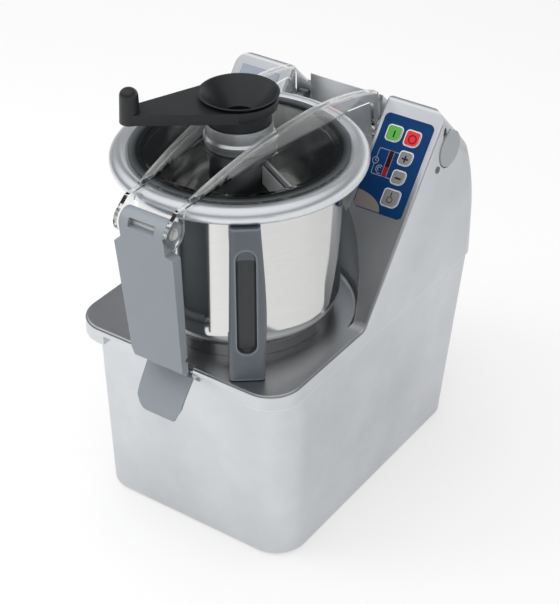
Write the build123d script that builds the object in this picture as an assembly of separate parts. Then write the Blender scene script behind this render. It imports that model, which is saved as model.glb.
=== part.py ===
from build123d import *
from math import asin, cos, radians, sin, sqrt, tan
import os

# Table-top bowl cutter. Millimetres, +Z up, front of the machine towards -Y. Every piece is laid
# out from the floor under the middle of the casing, and is saved with the origin on the floor
# under the middle of the whole machine, latch and hinge caps included.

# Casing outlines
casing_width = 256.4
casing_depth = 374.8
front_corner = 35.0
rear_corner = 21.0
deck_top = 220.0
lip_height = 17.5
edge_round = 3.0
cast_wall = 4.0
front_overhang = 19.0
side_overhang = 1.6
side_draft = 6.5
front_draft = 0.7
rear_draft = 25.2
base_front_corner = 35.0
base_rear_corner = 27.0
seam_rebate = 1.4
casing_lift = 3.0
grip_half = 87.0
grip_rise = 10.8
grip_run = 14.6

# Feet, base plate and tie bolts
foot_radius = 14.0
foot_height = 9.0
foot_web = 2.0
foot_chamfer = 1.0
base_plate_thick = 2.0
tie_inset = 28.0
tie_radius = 3.0
tie_head_radius = 5.5
tie_head_thick = 4.0
tie_socket_radius = 2.9
tie_socket_depth = 2.2
tie_end_gap = 3.0
post_radius = 8.0
post_web = 4.0
bolt_clearance = 0.3
vent_length = 70.0
vent_width = 4.0
vent_pitch = 12.0
vent_rows = 7
vent_start_y = 60.0

# Bowl
bowl_y = -70.0
bowl_radius = 100.4
bowl_draft = 1.2
bowl_wall = 1.8
bowl_lift = 6.0
bowl_height = 178.0
bowl_corner = 26.0
bowl_tube_radius = 15.0
bowl_tube_rise = 74.0
base_ring_radius = 90.0
base_ring_wall = 3.5
base_ring_rise = 12.0
deck_gap = 0.2
rim_width = 25.1
rim_height = 16.0
rim_crest = 11.5
rim_bulge = 2.6
rim_widest_drop = 7.5
rim_lower_curl = 6.0
rim_seat_drop = 3.6
rim_seat_width = 8.8
rim_seat_wall = 2.0
rim_wall = 2.2
rim_slit = 8.0

# Tower with its two horns
slope_angle = 51.46
slope_foot_back = 32.0
slope_foot_round = 14.0
slope_foot_run = 30.0
tower_rise = 182.6
back_radius = 215.7
back_foot_rise = 29.5
knee_rise = 122.5
knee_round = 30.0
crown_round = 5.5
horn_inner_x = 58.0
horn_round = 4.5
apron_drop = 6.0
recess_radius = 118.0
recess_foot_round = 5.0
wall_half = 44.5
wall_back_of_hinge = 5.0
leg_room_back = 15.5
leg_room_top = 14.0
channel_drop = 18.0

# Motor and drive
motor_radius = 66.0
motor_wall = 8.0
motor_bottom = 72.0
motor_bell = 16.0
flange_radius = 80.0
flange_thick = 8.0
flange_bolt_circle = 72.0
flange_bolt_radius = 3.0
flange_bolt_bite = 5.2
screw_head_radius = 5.0
screw_head_thick = 4.0
fin_count = 24
fin_groove_depth = 2.0
fin_groove_width = 4.0
stator_low = 100.0
stator_high = 180.0
core_radius = 34.0
core_inset = 2.0
air_gap = 0.6
shaft_radius = 7.5
shaft_rise = 104.0
shaft_chamfer = 1.0
bearing_radius = 17.5
bearing_width = 11.0
running_gap = 0.05
seal_radius = 10.0
seal_width = 6.0
spigot_radius = 12.5
spigot_rise = 6.0
seat_radius = 78.0
seat_height = 2.5

# Bowl handle
handle_turn = 38.0
finger_room = 20.8
handle_bar = 13.0
handle_drop = 1.0
handle_foot_gap = 1.0
handle_head = 21.0
handle_heel = 29.0
grip_width = 38.0
grip_end_width = 28.5
grip_neck_width = 34.5
grip_channel_width = 19.0
grip_channel_depth = 7.0
grip_channel_round = 5.0
handle_round = 5.0
handle_stud_radius = 3.0
handle_stud_length = 30.0
handle_stud_inset = 10.0
handle_bite = 1.0

# Lid
lid_play = 1.7
lid_thick = 3.5
lid_proud = 0.6
lid_dome = 4.4
lid_hole_radius = 31.0
lid_skirt_inset = 5.4
lid_skirt_wall = 3.0
lid_skirt_drop = 10.0
seal_gap = 0.3
seal_thick = 1.3
rib_front_y = -184.0
rib_spread = 0.08
rib_wall = 4.0
rib_flange = 8.0
rib_flange_thick = 2.4
rib_apex_y = -20.0
rib_rise = 24.5
rib_front_run = 634.0
rib_rear_y = 92.0
rib_rear_rise = 5.5
leg_front_y = 88.5
leg_back_y = 99.5
leg_throat = 10.7
rim_gap = 0.7
ear_wall = 4.4
ear_gap = 0.8
ear_radius = 13.5
spur_length = 4.7
collar_foot_radius = 34.8
collar_top_radius = 32.6
collar_height = 24.0
collar_bead = 9.0
collar_fit = 0.4

# Lid hinge
hinge_back = 184.0
hinge_drop = 47.0
knuckle_radius = 14.0
knuckle_width = 11.0
knuckle_side_gap = 0.8
pin_radius = 6.0
bush_radius = 14.0
bush_length = 5.3
cap_radius = 19.5
cap_thick = 4.2
cap_pocket = 3.0
cap_gap = 0.3
cap_pocket_gap = 1.2
cap_round = 1.2
hinge_boss = 5.0
pocket_slot_width = 7.0
pocket_slot_y = -11.0
pocket_slot_rise = 24.5
set_screw_radius = 2.6
set_screw_y = -22.5
set_screw_z = -14.5

# Scraper
funnel_radius = 39.0
funnel_height = 28.5
funnel_wall = 2.2
funnel_lip = 13.0
neck_radius = 31.0
feed_radius = 16.0
feed_throat_drop = 23.5
scraper_gap = 0.35
crank_reach = 105.0
crank_turn = 232.0
crank_thick = 11.0
crank_drop = 4.0
crank_knob_radius = 9.4
crank_knob_taper = 0.8
crank_knob_rise = 19.5
hub_radius = 29.5
hub_drop = 17.0
hub_flange_radius = 35.0
hub_flange_thick = 6.0
hub_skirt_wall = 7.5
hub_skirt_drop = 25.0
wiper_reach = 95.0
wiper_low_reach = 88.5
wiper_rise = 74.0
wiper_width = 16.0
wiper_shoulder_drop = 52.0
wiper_elbow_drop = 64.0
wiper_thick = 3.0
carrier_inset = 4.0
carrier_thick = 6.0

# Front latch
latch_front = 141.0
latch_drop = 18.5
latch_barrel_radius = 12.0
latch_pin_radius = 6.0
latch_pin_step = 2.0
latch_half_knuckle = 25.5
latch_half_shoulder = 34.0
latch_half_foot = 30.0
latch_shoulder_drop = 22.5
latch_lean = 14.0
latch_foot_rise = 9.0
latch_depth = 11.5
latch_wall = 3.0
latch_slot_half = 15.0
latch_slot_height = 8.8
pin_clearance = 0.1
tongue_pin_front = 14.1
tongue_pin_rise = 21.0
tongue_pin_radius = 2.4
tongue_barrel_wall = 2.4
tongue_half = 28.0
tongue_web_half = 21.0
tongue_thick = 2.8
tongue_gap = 0.8
notch_half = 25.5
notch_depth = 6.0
notch_side_gap = 0.6
hook_angle = 66.0
hook_height = 8.0
hook_gap = 0.35
hook_front_gap = 0.4
hook_drop = 8.0

# Rotor
hub_gap = 1.5
rotor_radius = 24.0
rotor_waist_rise = 50.0
rotor_height = 109.0
rotor_top_radius = 17.6
rotor_bore_rise = 80.0
blade_thick = 2.4
blade_bevel = 4.0
blade_tip_gap = 11.2
blade_tip_angle = -34.0
blade_root_lead = 70.0
blade_root_trail = -20.0
blade_root = 30.0
blade_rise = 10.0
blade_step = 28.0
cap_nut_height = 8.0
cap_nut_round = 2.0
cap_groove = 1.2

# Control panel on the right horn
panel_x = 92.5
panel_along = 164.5
panel_width = 57.0
panel_height = 101.0
panel_corner = 6.0
panel_thick = 1.2
panel_proud = 0.4
key_gap = 0.3
key_proud = 0.9
key_thick = 2.4
key_travel = 0.8
key_stem_radius = 2.0
key_corner = 3.2
display_x = 86.0
display_width = 5.0
display_height = 27.0
display_thick = 0.8
board_width = 48.0
board_height = 88.0
board_depth = 14.0
board_thick = 1.6
standoff_radius = 2.6
standoff_inset = 4.0
label_x = -94.5
label_along = 210.3
label_width = 45.0
label_height = 17.0
label_corner = 1.5
label_sink = 0.5
label_thick = 0.9

# Cable inlet at the back
gland_x = -60.0
gland_z = 60.0
gland_radius = 10.0
gland_length = 16.0
gland_bore = 4.0
gland_shoulder = 3.0

os.makedirs("parts", exist_ok=True)

# Places worked out from the sizes
half_width = casing_width / 2
half_depth = casing_depth / 2
lip_bottom = deck_top - lip_height
under_deck = deck_top - cast_wall
base_half_width = half_width - side_overhang - side_draft
base_front_y = -half_depth + front_overhang + front_draft
base_rear_y = half_depth - side_overhang - rear_draft
bowl_bottom = deck_top + bowl_lift
bowl_floor = bowl_bottom + bowl_wall
rim_top = bowl_bottom + bowl_height
rim_bottom = rim_top - rim_height
rim_seat_z = rim_top - rim_seat_drop
rim_widest_z = rim_top - rim_widest_drop
rim_radius = bowl_radius + rim_width
rim_seat_radius = bowl_radius + rim_seat_width
slope_rise = tan(radians(slope_angle))
slope_foot_y = bowl_y + slope_foot_back
tower_top = deck_top + tower_rise
apex_y = slope_foot_y + tower_rise / slope_rise
hinge_y = bowl_y + hinge_back
hinge_z = rim_top - hinge_drop
knuckle_in = horn_inner_x - knuckle_side_gap - knuckle_width
spigot_top = bowl_bottom + spigot_rise
lid_radius = rim_seat_radius - lid_play
lid_rim_top = rim_top + lid_proud
lid_crown = lid_rim_top + lid_dome
lid_under = lid_crown - lid_thick
ear_inner_x = latch_half_knuckle + ear_gap
rib_front_x = ear_inner_x + ear_wall / 2
latch_y = bowl_y - latch_front
latch_z = rim_top - latch_drop
middle_y = (half_depth + latch_y - ear_radius) / 2
clear_of_part = 60.0


def save(name, shape):
    placed = Pos(0, -middle_y, 0) * shape
    placed.label = name
    export_step(placed, f"parts/{name}.step")


def at_bowl(z=0.0):
    return Pos(0, bowl_y, z)


def ring(outer, inner, low, high):
    """Upright ring about the bowl's axis."""
    solid = Cylinder(outer, high - low) - Cylinder(inner, high - low)
    return at_bowl((low + high) / 2) * solid


def disc(radius, low, high):
    return at_bowl((low + high) / 2) * Cylinder(radius, high - low)


def post(x, y, radius, low, high):
    """Upright round bar anywhere on the plan."""
    return Pos(x, y, (low + high) / 2) * Cylinder(radius, high - low)


def cross_rod(radius, x0, x1, y, z):
    """Round bar lying along X."""
    return Pos((x0 + x1) / 2, y, z) * Rot(0, 90, 0) * Cylinder(radius, abs(x1 - x0))


def side_prism(points, x0, x1):
    """Prism along X over a polygon of (y, z) points."""
    face = Plane.YZ * make_face(Polyline(*points, close=True))
    return Pos(min(x0, x1), 0, 0) * extrude(face, abs(x1 - x0))


def span(x0, x1, y0, y1, z0, z1):
    """Block between two corners."""
    return Pos((x0 + x1) / 2, (y0 + y1) / 2, (z0 + z1) / 2) * Box(x1 - x0, y1 - y0, z1 - z0)


def plan_outline(half_w, front_y, rear_y, front_r, rear_r):
    """Plan view with one corner radius in front and another behind."""
    face = Pos(0, (front_y + rear_y) / 2) * Rectangle(2 * half_w, rear_y - front_y)
    face = fillet(face.vertices().sort_by(Axis.Y)[:2], front_r)
    return fillet(face.vertices().sort_by(Axis.Y)[-2:], rear_r)


def casing_outline(inset):
    return plan_outline(
        half_width - inset,
        -half_depth + inset,
        half_depth - inset,
        front_corner - inset,
        rear_corner - inset,
    )


def revolve_about_bowl(points):
    """Turned body from (radius, z) points about the bowl's axis."""
    face = Plane.XZ * make_face(Polyline(*points, close=True))
    return at_bowl() * revolve(face, Axis.Z)


# Lower casing: drafted cast skirt, open below and above, set back under the deck's front lip,
# with four posts for the tie bolts
tie_spots = [
    (side * (base_half_width - tie_inset), y)
    for side in (-1, 1) for y in (base_front_y + tie_inset, base_rear_y - tie_inset)
]


def skirt_top_outline(inset):
    return plan_outline(
        half_width - side_overhang - inset,
        -half_depth + front_overhang + inset,
        half_depth - side_overhang - inset,
        front_corner - inset,
        rear_corner - inset,
    )


def skirt_foot_outline(inset):
    return plan_outline(
        base_half_width - inset,
        base_front_y + inset,
        base_rear_y - inset,
        base_front_corner - inset,
        base_rear_corner - inset,
    )


def skirt(inset):
    return loft([
        Pos(0, 0, casing_lift) * skirt_foot_outline(inset),
        Pos(0, 0, lip_bottom) * skirt_top_outline(inset),
    ])


def build_lower_casing():
    outer = skirt(0)
    rebate_low = lip_bottom - seam_rebate
    rebate = Pos(0, 0, rebate_low) * extrude(skirt_top_outline(-seam_rebate), seam_rebate)
    rebate -= Pos(0, 0, rebate_low) * extrude(skirt_top_outline(seam_rebate), seam_rebate)
    shell = outer - skirt(cast_wall) - rebate
    shoulder = foot_height + base_plate_thick
    for x, y in tie_spots:
        outer_x = half_width if x > 0 else -half_width
        web = span(min(x, outer_x), max(x, outer_x), y - post_web / 2, y + post_web / 2, shoulder, lip_bottom)
        shell += (post(x, y, post_radius, shoulder, lip_bottom) + web) & outer
        shell -= post(x, y, tie_radius + bolt_clearance, 0, lip_bottom)
    shell -= Pos(gland_x, half_depth, gland_z) * Rot(90, 0, 0) * Cylinder(gland_radius, 4 * gland_length)
    return shell


save("lower_casing", build_lower_casing())

# Base plate with its air slots, four feet and four tie bolts
plate_low = foot_height
well_top = foot_height - foot_web
tie_end = under_deck - tie_end_gap
base_plate = Pos(0, 0, plate_low) * extrude(skirt_foot_outline(cast_wall + bolt_clearance), base_plate_thick)
feet = []
tie_bolts = []
for x, y in tie_spots:
    base_plate -= post(x, y, tie_radius + bolt_clearance, 0, lip_bottom)
    foot = post(x, y, foot_radius, 0, foot_height)
    foot = chamfer(foot.faces().sort_by(Axis.Z)[0].edges(), foot_chamfer)
    foot -= post(x, y, tie_head_radius + foot_chamfer, 0, well_top)
    foot -= post(x, y, tie_radius + bolt_clearance, 0, 2 * foot_height)
    feet.append(foot)
    bolt = post(x, y, tie_head_radius, well_top - tie_head_thick, well_top)
    socket = extrude(RegularPolygon(tie_socket_radius, 6), tie_socket_depth)
    bolt -= Pos(x, y, well_top - tie_head_thick) * socket
    tie_bolts.append(bolt + post(x, y, tie_radius, well_top, tie_end))
for row in range(vent_rows):
    slot = extrude(SlotOverall(vent_length, vent_width), base_plate_thick)
    base_plate -= Pos(0, vent_start_y + row * vent_pitch, plate_low) * slot
save("base_plate", base_plate)
save("rubber_feet", Compound(children=feet))
save("tie_bolts", Compound(children=tie_bolts))

# Cable inlet through the leaning back wall of the lower casing
rear_lean = rear_draft / (lip_bottom - casing_lift)
gland_wall_y = base_rear_y + rear_lean * (gland_z - casing_lift)
gland_spot = Pos(gland_x, gland_wall_y, gland_z) * Rot(-90, 0, 0)
gland = gland_spot * Cylinder(gland_radius, 2 * gland_length)
gland += gland_spot * Pos(0, 0, gland_length / 2) * Cylinder(gland_radius + gland_shoulder, gland_length)
wall_ring = Cylinder(gland_radius + 2 * gland_shoulder, 3 * gland_length)
wall_ring -= Cylinder(gland_radius, 3 * gland_length)
gland -= skirt(0) & (gland_spot * wall_ring)
gland -= gland_spot * Cylinder(gland_bore, 4 * gland_length)
save("cable_gland", gland)

# Side view of the tower: sloped front, rounded crown, falling back to a knee and a long curved back
back_foot_z = deck_top + back_foot_rise
knee_z = deck_top + knee_rise


def back_at(z):
    """How far back the curved back reaches at a height between its foot and its knee."""
    return half_depth - back_radius + sqrt(back_radius**2 - (z - back_foot_z) ** 2)


knee = (back_at(knee_z), knee_z)
back_curve = ThreePointArc(
    (half_depth, back_foot_z), (back_at((back_foot_z + knee_z) / 2), (back_foot_z + knee_z) / 2), knee)


def tower_face():
    front = Polyline(
        knee,
        (apex_y, tower_top),
        (slope_foot_y, deck_top),
        (slope_foot_y - slope_foot_run, deck_top),
        (slope_foot_y - slope_foot_run, lip_bottom),
        (half_depth, lip_bottom),
        (half_depth, back_foot_z),
    )
    face = make_face([*back_curve.edges(), *front.edges()])
    for corner, radius in ((knee, knee_round), ((apex_y, tower_top), crown_round),
                           ((slope_foot_y, deck_top), slope_foot_round)):
        face = fillet(face.vertices().sort_by_distance(corner)[0], radius)
    return face


def hull_face():
    """The tower's back alone, with its upper face run on past the crown."""
    rise = clear_of_part
    lean = (knee[0] - apex_y) / (tower_top - knee_z)
    front = Polyline(
        knee,
        (apex_y - lean * rise, tower_top + rise),
        (-half_depth, tower_top + rise),
        (-half_depth, lip_bottom - rise),
        (half_depth, lip_bottom - rise),
        (half_depth, back_foot_z),
    )
    face = make_face([*back_curve.edges(), *front.edges()])
    return fillet(face.vertices().sort_by_distance(knee)[0], knee_round)


def drawn_in(face, inset):
    return offset(face, -inset) if inset else face


def hull(inset):
    """Block with the tower's back and the casing's rounded rear corners carried up it."""
    face = Plane.YZ * drawn_in(hull_face(), inset)
    block = extrude(face, half_width - inset, both=True)
    rear_edges = block.edges().filter_by(
        lambda e: e.bounding_box().size.X < 0.01 and e.center().Y > slope_foot_y + clear_of_part)
    return fillet(rear_edges, rear_corner - inset)


def horn(inset, side):
    """One horn, drawn in by inset; side is 1 for the right one and -1 for the left."""
    face = Plane.YZ * drawn_in(tower_face(), inset)
    x_in = horn_inner_x + inset
    x_out = half_width - inset
    prism = Pos(x_in, 0, 0) * extrude(face, x_out - x_in)
    if not inset:
        for x, radius in ((x_out, edge_round), (x_in, horn_round)):
            long_edges = prism.edges().filter_by(
                lambda e: e.bounding_box().size.X < 0.01 and abs(e.center().X - x) < 0.01
                and e.center().Z > deck_top - 1 and e.center().Y < half_depth - 1)
            prism = fillet(long_edges, radius)
    return prism if side > 0 else mirror(prism, Plane.YZ)


def between_horns(inset, back_y, top_z):
    """Side view of the low part between the horns: apron, channel floor and the wall behind it."""
    face = drawn_in(tower_face(), inset)
    drop = (apron_drop + inset) / cos(radians(slope_angle))
    far = clear_of_part
    over_apron = [
        (slope_foot_y - far, deck_top - drop - far * slope_rise),
        (apex_y + far, tower_top - drop + far * slope_rise),
        (apex_y + far, tower_top + 2 * far * slope_rise),
        (slope_foot_y - 2 * far, tower_top + 2 * far * slope_rise),
    ]
    face -= make_face(Polyline(*over_apron, close=True))
    floor_z = hinge_z - channel_drop - inset
    channel_run = back_y + inset - slope_foot_y
    channel_middle = (slope_foot_y + channel_run / 2, floor_z + tower_rise / 2)
    face -= Pos(*channel_middle) * Rectangle(channel_run, tower_rise)
    return face - Pos(half_depth, top_z - inset + tower_rise / 2) * Rectangle(casing_depth, tower_rise)


def tower(inset):
    solid = (horn(inset, 1) + horn(inset, -1)) & hull(inset)
    # Room for the lid's legs beside each horn, and the higher wall between them
    reach = horn_inner_x + horn_round + inset
    low_part = Plane.YZ * between_horns(inset, hinge_y + leg_room_back, hinge_z + leg_room_top)
    solid += extrude(low_part, reach, both=True)
    high_part = Plane.YZ * between_horns(inset, hinge_y + wall_back_of_hinge, tower_top + inset)
    return solid + extrude(high_part, wall_half - inset, both=True)


slope_frame = Plane(
    origin=(0, slope_foot_y, deck_top),
    x_dir=(1, 0, 0),
    z_dir=(0, -sin(radians(slope_angle)), cos(radians(slope_angle))),
)


def on_slope(x, along, out=0.0):
    """Place on the sloped front: across, up the slope from the deck, and out from it."""
    return slope_frame * Pos(x, along, out)


# Keys: name, across, along, width, height
key_table = [
    ("key_start", 80.7, 195.7, 16.0, 15.5),
    ("key_stop", 101.9, 195.7, 16.0, 15.5),
    ("key_plus", 102.4, 174.7, 14.0, 13.5),
    ("key_minus", 102.5, 154.4, 14.0, 13.5),
    ("key_pulse", 102.6, 132.5, 18.0, 17.0),
]
panel_sink = panel_thick - panel_proud
panel_outline = RectangleRounded(panel_width, panel_height, panel_corner)
label_outline = RectangleRounded(label_width, label_height, label_corner)
standoff_spots = [
    (side * (board_width / 2 - standoff_inset), end * (board_height / 2 - standoff_inset))
    for side in (-1, 1) for end in (-1, 1)
]


def key_outline(width, height, grow):
    """Rounded square with one corner rounder than the rest, as the keys have."""
    w = width + 2 * grow
    h = height + 2 * grow
    blank = Rectangle(w, h)
    rest = blank.vertices().filter_by(lambda v: v.X < 0 or v.Y > 0)
    blank = fillet(rest, key_corner)
    wide_corner = blank.vertices().sort_by_distance((w / 2, -h / 2))[0]
    return fillet(wide_corner, 2 * key_corner)


def motor_screw_holes(low):
    """Four blind holes up into the deck for the motor's flange screws."""
    hole = Pos(0, 0, low + flange_bolt_bite / 2) * Cylinder(flange_bolt_radius, flange_bolt_bite)
    return Compound(children=[at_bowl() * spot * hole for spot in motor_screw_spots])


motor_screw_spots = PolarLocations(flange_bolt_circle, 4, start_angle=45)


def front_lip(shell):
    """Sloping finger grip under the front lip, and the notch where the latch hooks in."""
    lip_front = -half_depth
    grip = [
        (lip_front - 1, lip_bottom - 1),
        (lip_front - 1, lip_bottom + grip_rise),
        (lip_front, lip_bottom + grip_rise),
        (lip_front + grip_run, lip_bottom),
        (lip_front + grip_run, lip_bottom - 1),
    ]
    shell -= side_prism(grip, -grip_half, grip_half)
    block_half = notch_half + cast_wall
    notch_back = lip_front + notch_depth
    shell += span(-block_half, block_half, notch_back, lip_front + front_overhang, lip_bottom, under_deck)
    return shell - span(-notch_half, notch_half, lip_front - 1, notch_back, lip_bottom, deck_top + 1)


def hinge_seats(shell, body):
    """Bores for the hinge pins and bushes, with a pocket for the cap and a set screw hole outside."""
    pocket_x = half_width - cap_pocket
    boss_x = half_width - cast_wall - hinge_boss
    outside = half_width + 1
    for side in (-1, 1):
        boss = cross_rod(cap_radius + cast_wall, side * boss_x, side * pocket_x, hinge_y, hinge_z)
        shell += boss & body
        shell -= cross_rod(bush_radius, side * (boss_x - 1), side * outside, hinge_y, hinge_z)
        shell -= cross_rod(cap_radius + cap_pocket_gap, side * pocket_x, side * outside, hinge_y, hinge_z)
        slot_low = (side * pocket_x, hinge_y + pocket_slot_y, hinge_z)
        slot = extrude(SlotCenterToCenter(pocket_slot_rise, pocket_slot_width), cap_pocket + 1)
        turn = Rot(0, 90, 0) if side > 0 else Rot(0, -90, 0)
        shell -= Pos(*slot_low) * Pos(0, 0, pocket_slot_rise / 2) * turn * slot
        inner = side * (horn_inner_x - 2), side * (horn_inner_x + cast_wall + 2)
        shell -= cross_rod(pin_radius, *inner, hinge_y, hinge_z)
        wall = side * (half_width - cast_wall - 2), side * outside
        shell -= cross_rod(set_screw_radius, *wall, hinge_y + set_screw_y, hinge_z + set_screw_z)
    return shell


def panel_seat(shell):
    """Recess for the key panel, passages for the key stems, board standoffs and the label's seat."""
    shell -= on_slope(panel_x, panel_along, -panel_sink) * extrude(panel_outline, 2 * panel_sink)
    key_sink = key_thick + key_travel + panel_sink
    for _, x, along, width, height in key_table:
        shell -= on_slope(x, along, -key_sink) * extrude(key_outline(width, height, key_gap), key_sink)
        shell -= on_slope(x, along, -cast_wall) * Cylinder(key_stem_radius + key_gap, 2 * cast_wall)
    root = cast_wall - panel_sink
    for x, along in standoff_spots:
        spot = on_slope(panel_x + x, panel_along + along, -(root + board_depth) / 2)
        shell += spot * Cylinder(standoff_radius, board_depth - root)
    return shell - on_slope(label_x, label_along, -label_sink) * extrude(label_outline, 2.0)


def build_top_casing():
    """Deck and tower in one hollow casting."""
    deck = Pos(0, 0, lip_bottom) * extrude(casing_outline(0), lip_height)
    deck = fillet(deck.faces().sort_by(Axis.Z)[-1].edges(), edge_round)
    body = tower(0)
    shell = deck + body
    sweep_top = tower_top + clear_of_part
    bowl_room = disc(recess_radius, deck_top, sweep_top)
    shell -= fillet(bowl_room.faces().sort_by(Axis.Z)[0].edges(), recess_foot_round)
    shell += disc(seat_radius, under_deck, deck_top + seat_height)
    shell += disc(spigot_radius, under_deck, spigot_top)
    # Hollow under the deck and in the tower, with a window between the two for the wiring
    hollow_plan = casing_outline(cast_wall) & skirt_top_outline(cast_wall - side_overhang)
    shell -= Pos(0, 0, lip_bottom) * extrude(hollow_plan, lip_height - cast_wall)
    hollow = tower(cast_wall) & span(-half_width, half_width, -half_depth, half_depth, deck_top, sweep_top)
    hollow -= disc(recess_radius + cast_wall, deck_top, sweep_top)
    shell -= hollow
    shell -= span(-60, 60, 70, 160, deck_top - 2 * cast_wall, deck_top + cast_wall)
    for x, y in tie_spots:
        shell += post(x, y, post_radius, lip_bottom, deck_top - cast_wall / 2)
        shell -= post(x, y, tie_radius, lip_bottom, tie_end)
    # Shaft passage with the seal's seat, and blind holes for the motor screws
    shell -= disc(shaft_radius + 1.0, lip_bottom, spigot_top)
    shell -= disc(seal_radius, spigot_top - seal_width, spigot_top)
    shell -= motor_screw_holes(under_deck)
    return panel_seat(hinge_seats(front_lip(shell), body))


save("top_casing", build_top_casing())

# Motor under the deck: finned housing with a flange, stator, screws, bearings and the shaft seal
motor_top = under_deck
upper_bearing_low = motor_top - motor_bell - screw_head_thick
lower_bearing_low = motor_bottom + motor_bell - bearing_width
housing = disc(motor_radius, motor_bottom, motor_top)
housing += disc(flange_radius, motor_top - flange_thick, motor_top)
groove = Pos(motor_radius, 0, (stator_low + stator_high) / 2) * Box(
    2 * fin_groove_depth, fin_groove_width, stator_high - stator_low)
for fin in range(fin_count):
    housing -= at_bowl() * Rot(0, 0, fin * 360 / fin_count) * groove
housing -= disc(motor_radius - motor_wall, motor_bottom + motor_bell, upper_bearing_low)
for low in (lower_bearing_low, upper_bearing_low):
    housing -= disc(bearing_radius, low, low + bearing_width)
housing -= disc(shaft_radius + 2.0, motor_bottom + 3, motor_top)
motor_screws = []
head_low = motor_top - flange_thick - screw_head_thick
for spot in motor_screw_spots:
    centre = at_bowl() * spot
    housing -= centre * Pos(0, 0, motor_top) * Cylinder(flange_bolt_radius + bolt_clearance, 3 * flange_thick)
    shank_top = motor_top + flange_bolt_bite
    head = Cylinder(screw_head_radius, screw_head_thick)
    shank = Cylinder(flange_bolt_radius, shank_top - head_low)
    screw = centre * Pos(0, 0, head_low + screw_head_thick / 2) * head
    screw += centre * Pos(0, 0, (head_low + shank_top) / 2) * shank
    motor_screws.append(screw)
save("motor_housing", housing)
save("motor_screws", Compound(children=motor_screws))
save("motor_stator", ring(motor_radius - motor_wall, core_radius + air_gap, stator_low, stator_high))
save("shaft_bearings", Compound(children=[
    ring(bearing_radius, shaft_radius + running_gap, low, low + bearing_width)
    for low in (lower_bearing_low, upper_bearing_low)
]))
save("shaft_seal", ring(seal_radius, shaft_radius + running_gap, spigot_top - seal_width, spigot_top))

# Turning parts on the motor's axis: shaft, motor core, cutter hub, two blades and the cap nut
shaft = disc(shaft_radius, lower_bearing_low + 1, bowl_bottom + shaft_rise)
save("drive_shaft", chamfer(shaft.faces().sort_by(Axis.Z)[-1].edges(), shaft_chamfer))
save("motor_core", ring(core_radius, shaft_radius, stator_low + core_inset, stator_high - core_inset))
rotor_low = bowl_floor + hub_gap
rotor_top = bowl_bottom + rotor_height
rotor_bore_top = bowl_bottom + rotor_bore_rise
save("rotor_hub", revolve_about_bowl([
    (bowl_tube_radius + hub_gap, rotor_low),
    (rotor_radius, rotor_low),
    (rotor_radius, bowl_bottom + rotor_waist_rise),
    (rotor_top_radius, rotor_top),
    (shaft_radius, rotor_top),
    (shaft_radius, rotor_bore_top),
    (bowl_tube_radius + hub_gap, rotor_bore_top),
]))
blade_tip = bowl_radius - bowl_draft - blade_tip_gap


def polar(radius, angle):
    return radius * cos(radians(angle)), radius * sin(radians(angle))


def sickle_blade(z, turn):
    """Curved blade on a collar, with its outer edge ground to a bevel on top."""
    tip = polar(blade_tip, blade_tip_angle)
    lead = ThreePointArc(polar(blade_root, blade_root_lead), polar(blade_tip * 0.833, 11), tip)
    trail = ThreePointArc(tip, polar(blade_tip * 0.533, -11), polar(blade_root, blade_root_trail))
    inner = Line(trail @ 1, lead @ 0)
    blade = extrude(make_face([*lead.edges(), *trail.edges(), *inner.edges()]), blade_thick)
    bevel_height = blade_thick * 0.8
    bevel = Cylinder(lead.radius + blade_bevel, bevel_height)
    bevel -= Cone(lead.radius, lead.radius - blade_bevel, bevel_height)
    blade -= Pos(lead.arc_center.X, lead.arc_center.Y, blade_thick - bevel_height / 2) * bevel
    collar = Pos(0, 0, blade_thick) * Cylinder(blade_root, 2 * blade_thick)
    blade = blade + collar - Cylinder(rotor_radius, 8 * blade_thick)
    return at_bowl(z) * Rot(0, 0, turn) * blade


save("lower_blade", sickle_blade(bowl_bottom + blade_rise, 20))
save("upper_blade", sickle_blade(bowl_bottom + blade_rise + blade_step, 200))
nut_radius = rotor_top_radius - cap_groove / 2
nut_top = rotor_top + cap_nut_height
cap_nut = disc(nut_radius, rotor_top, nut_top)
cap_nut = fillet(cap_nut.faces().sort_by(Axis.Z)[-1].edges(), cap_nut_round)
for step in range(3):
    groove_radius = nut_radius * (step + 1.6) / 4.9
    half_groove = cap_groove / 2
    cap_nut -= ring(groove_radius + half_groove, groove_radius - half_groove, nut_top - cap_groove, nut_top)
save("rotor_cap", cap_nut)


# Bowl: drawn wall with a wide bottom radius and a central tube for the shaft
def bowl_solid(inset):
    """Outside of the bowl, drawn in by inset, as a filled turned body."""
    low = bowl_bottom + inset
    radius_low = bowl_radius - bowl_draft - inset
    corner = bowl_corner - inset
    centre_r = radius_low - corner
    centre_z = low + corner
    diagonal = corner / sqrt(2)
    bend = ThreePointArc(
        (centre_r, low), (centre_r + diagonal, centre_z - diagonal), (radius_low, centre_z))
    rest = Polyline(
        (radius_low, centre_z),
        (bowl_radius - inset, rim_seat_z),
        (0, rim_seat_z),
        (0, low),
        (centre_r, low),
    )
    face = Plane.XZ * make_face([*bend.edges(), *rest.edges()])
    return at_bowl() * revolve(face, Axis.Z)


bowl_block = bowl_solid(0)
bowl = bowl_block - bowl_solid(bowl_wall)
bowl -= disc(bowl_tube_radius - bowl_wall, bowl_bottom - 1, bowl_floor + 1)
bowl += ring(bowl_tube_radius, bowl_tube_radius - bowl_wall, bowl_bottom, bowl_bottom + bowl_tube_rise)
save("bowl", bowl)
foot_ring = ring(base_ring_radius, base_ring_radius - base_ring_wall, deck_top + deck_gap,
                 bowl_bottom + base_ring_rise)
save("bowl_foot_ring", foot_ring - bowl_block)


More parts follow.
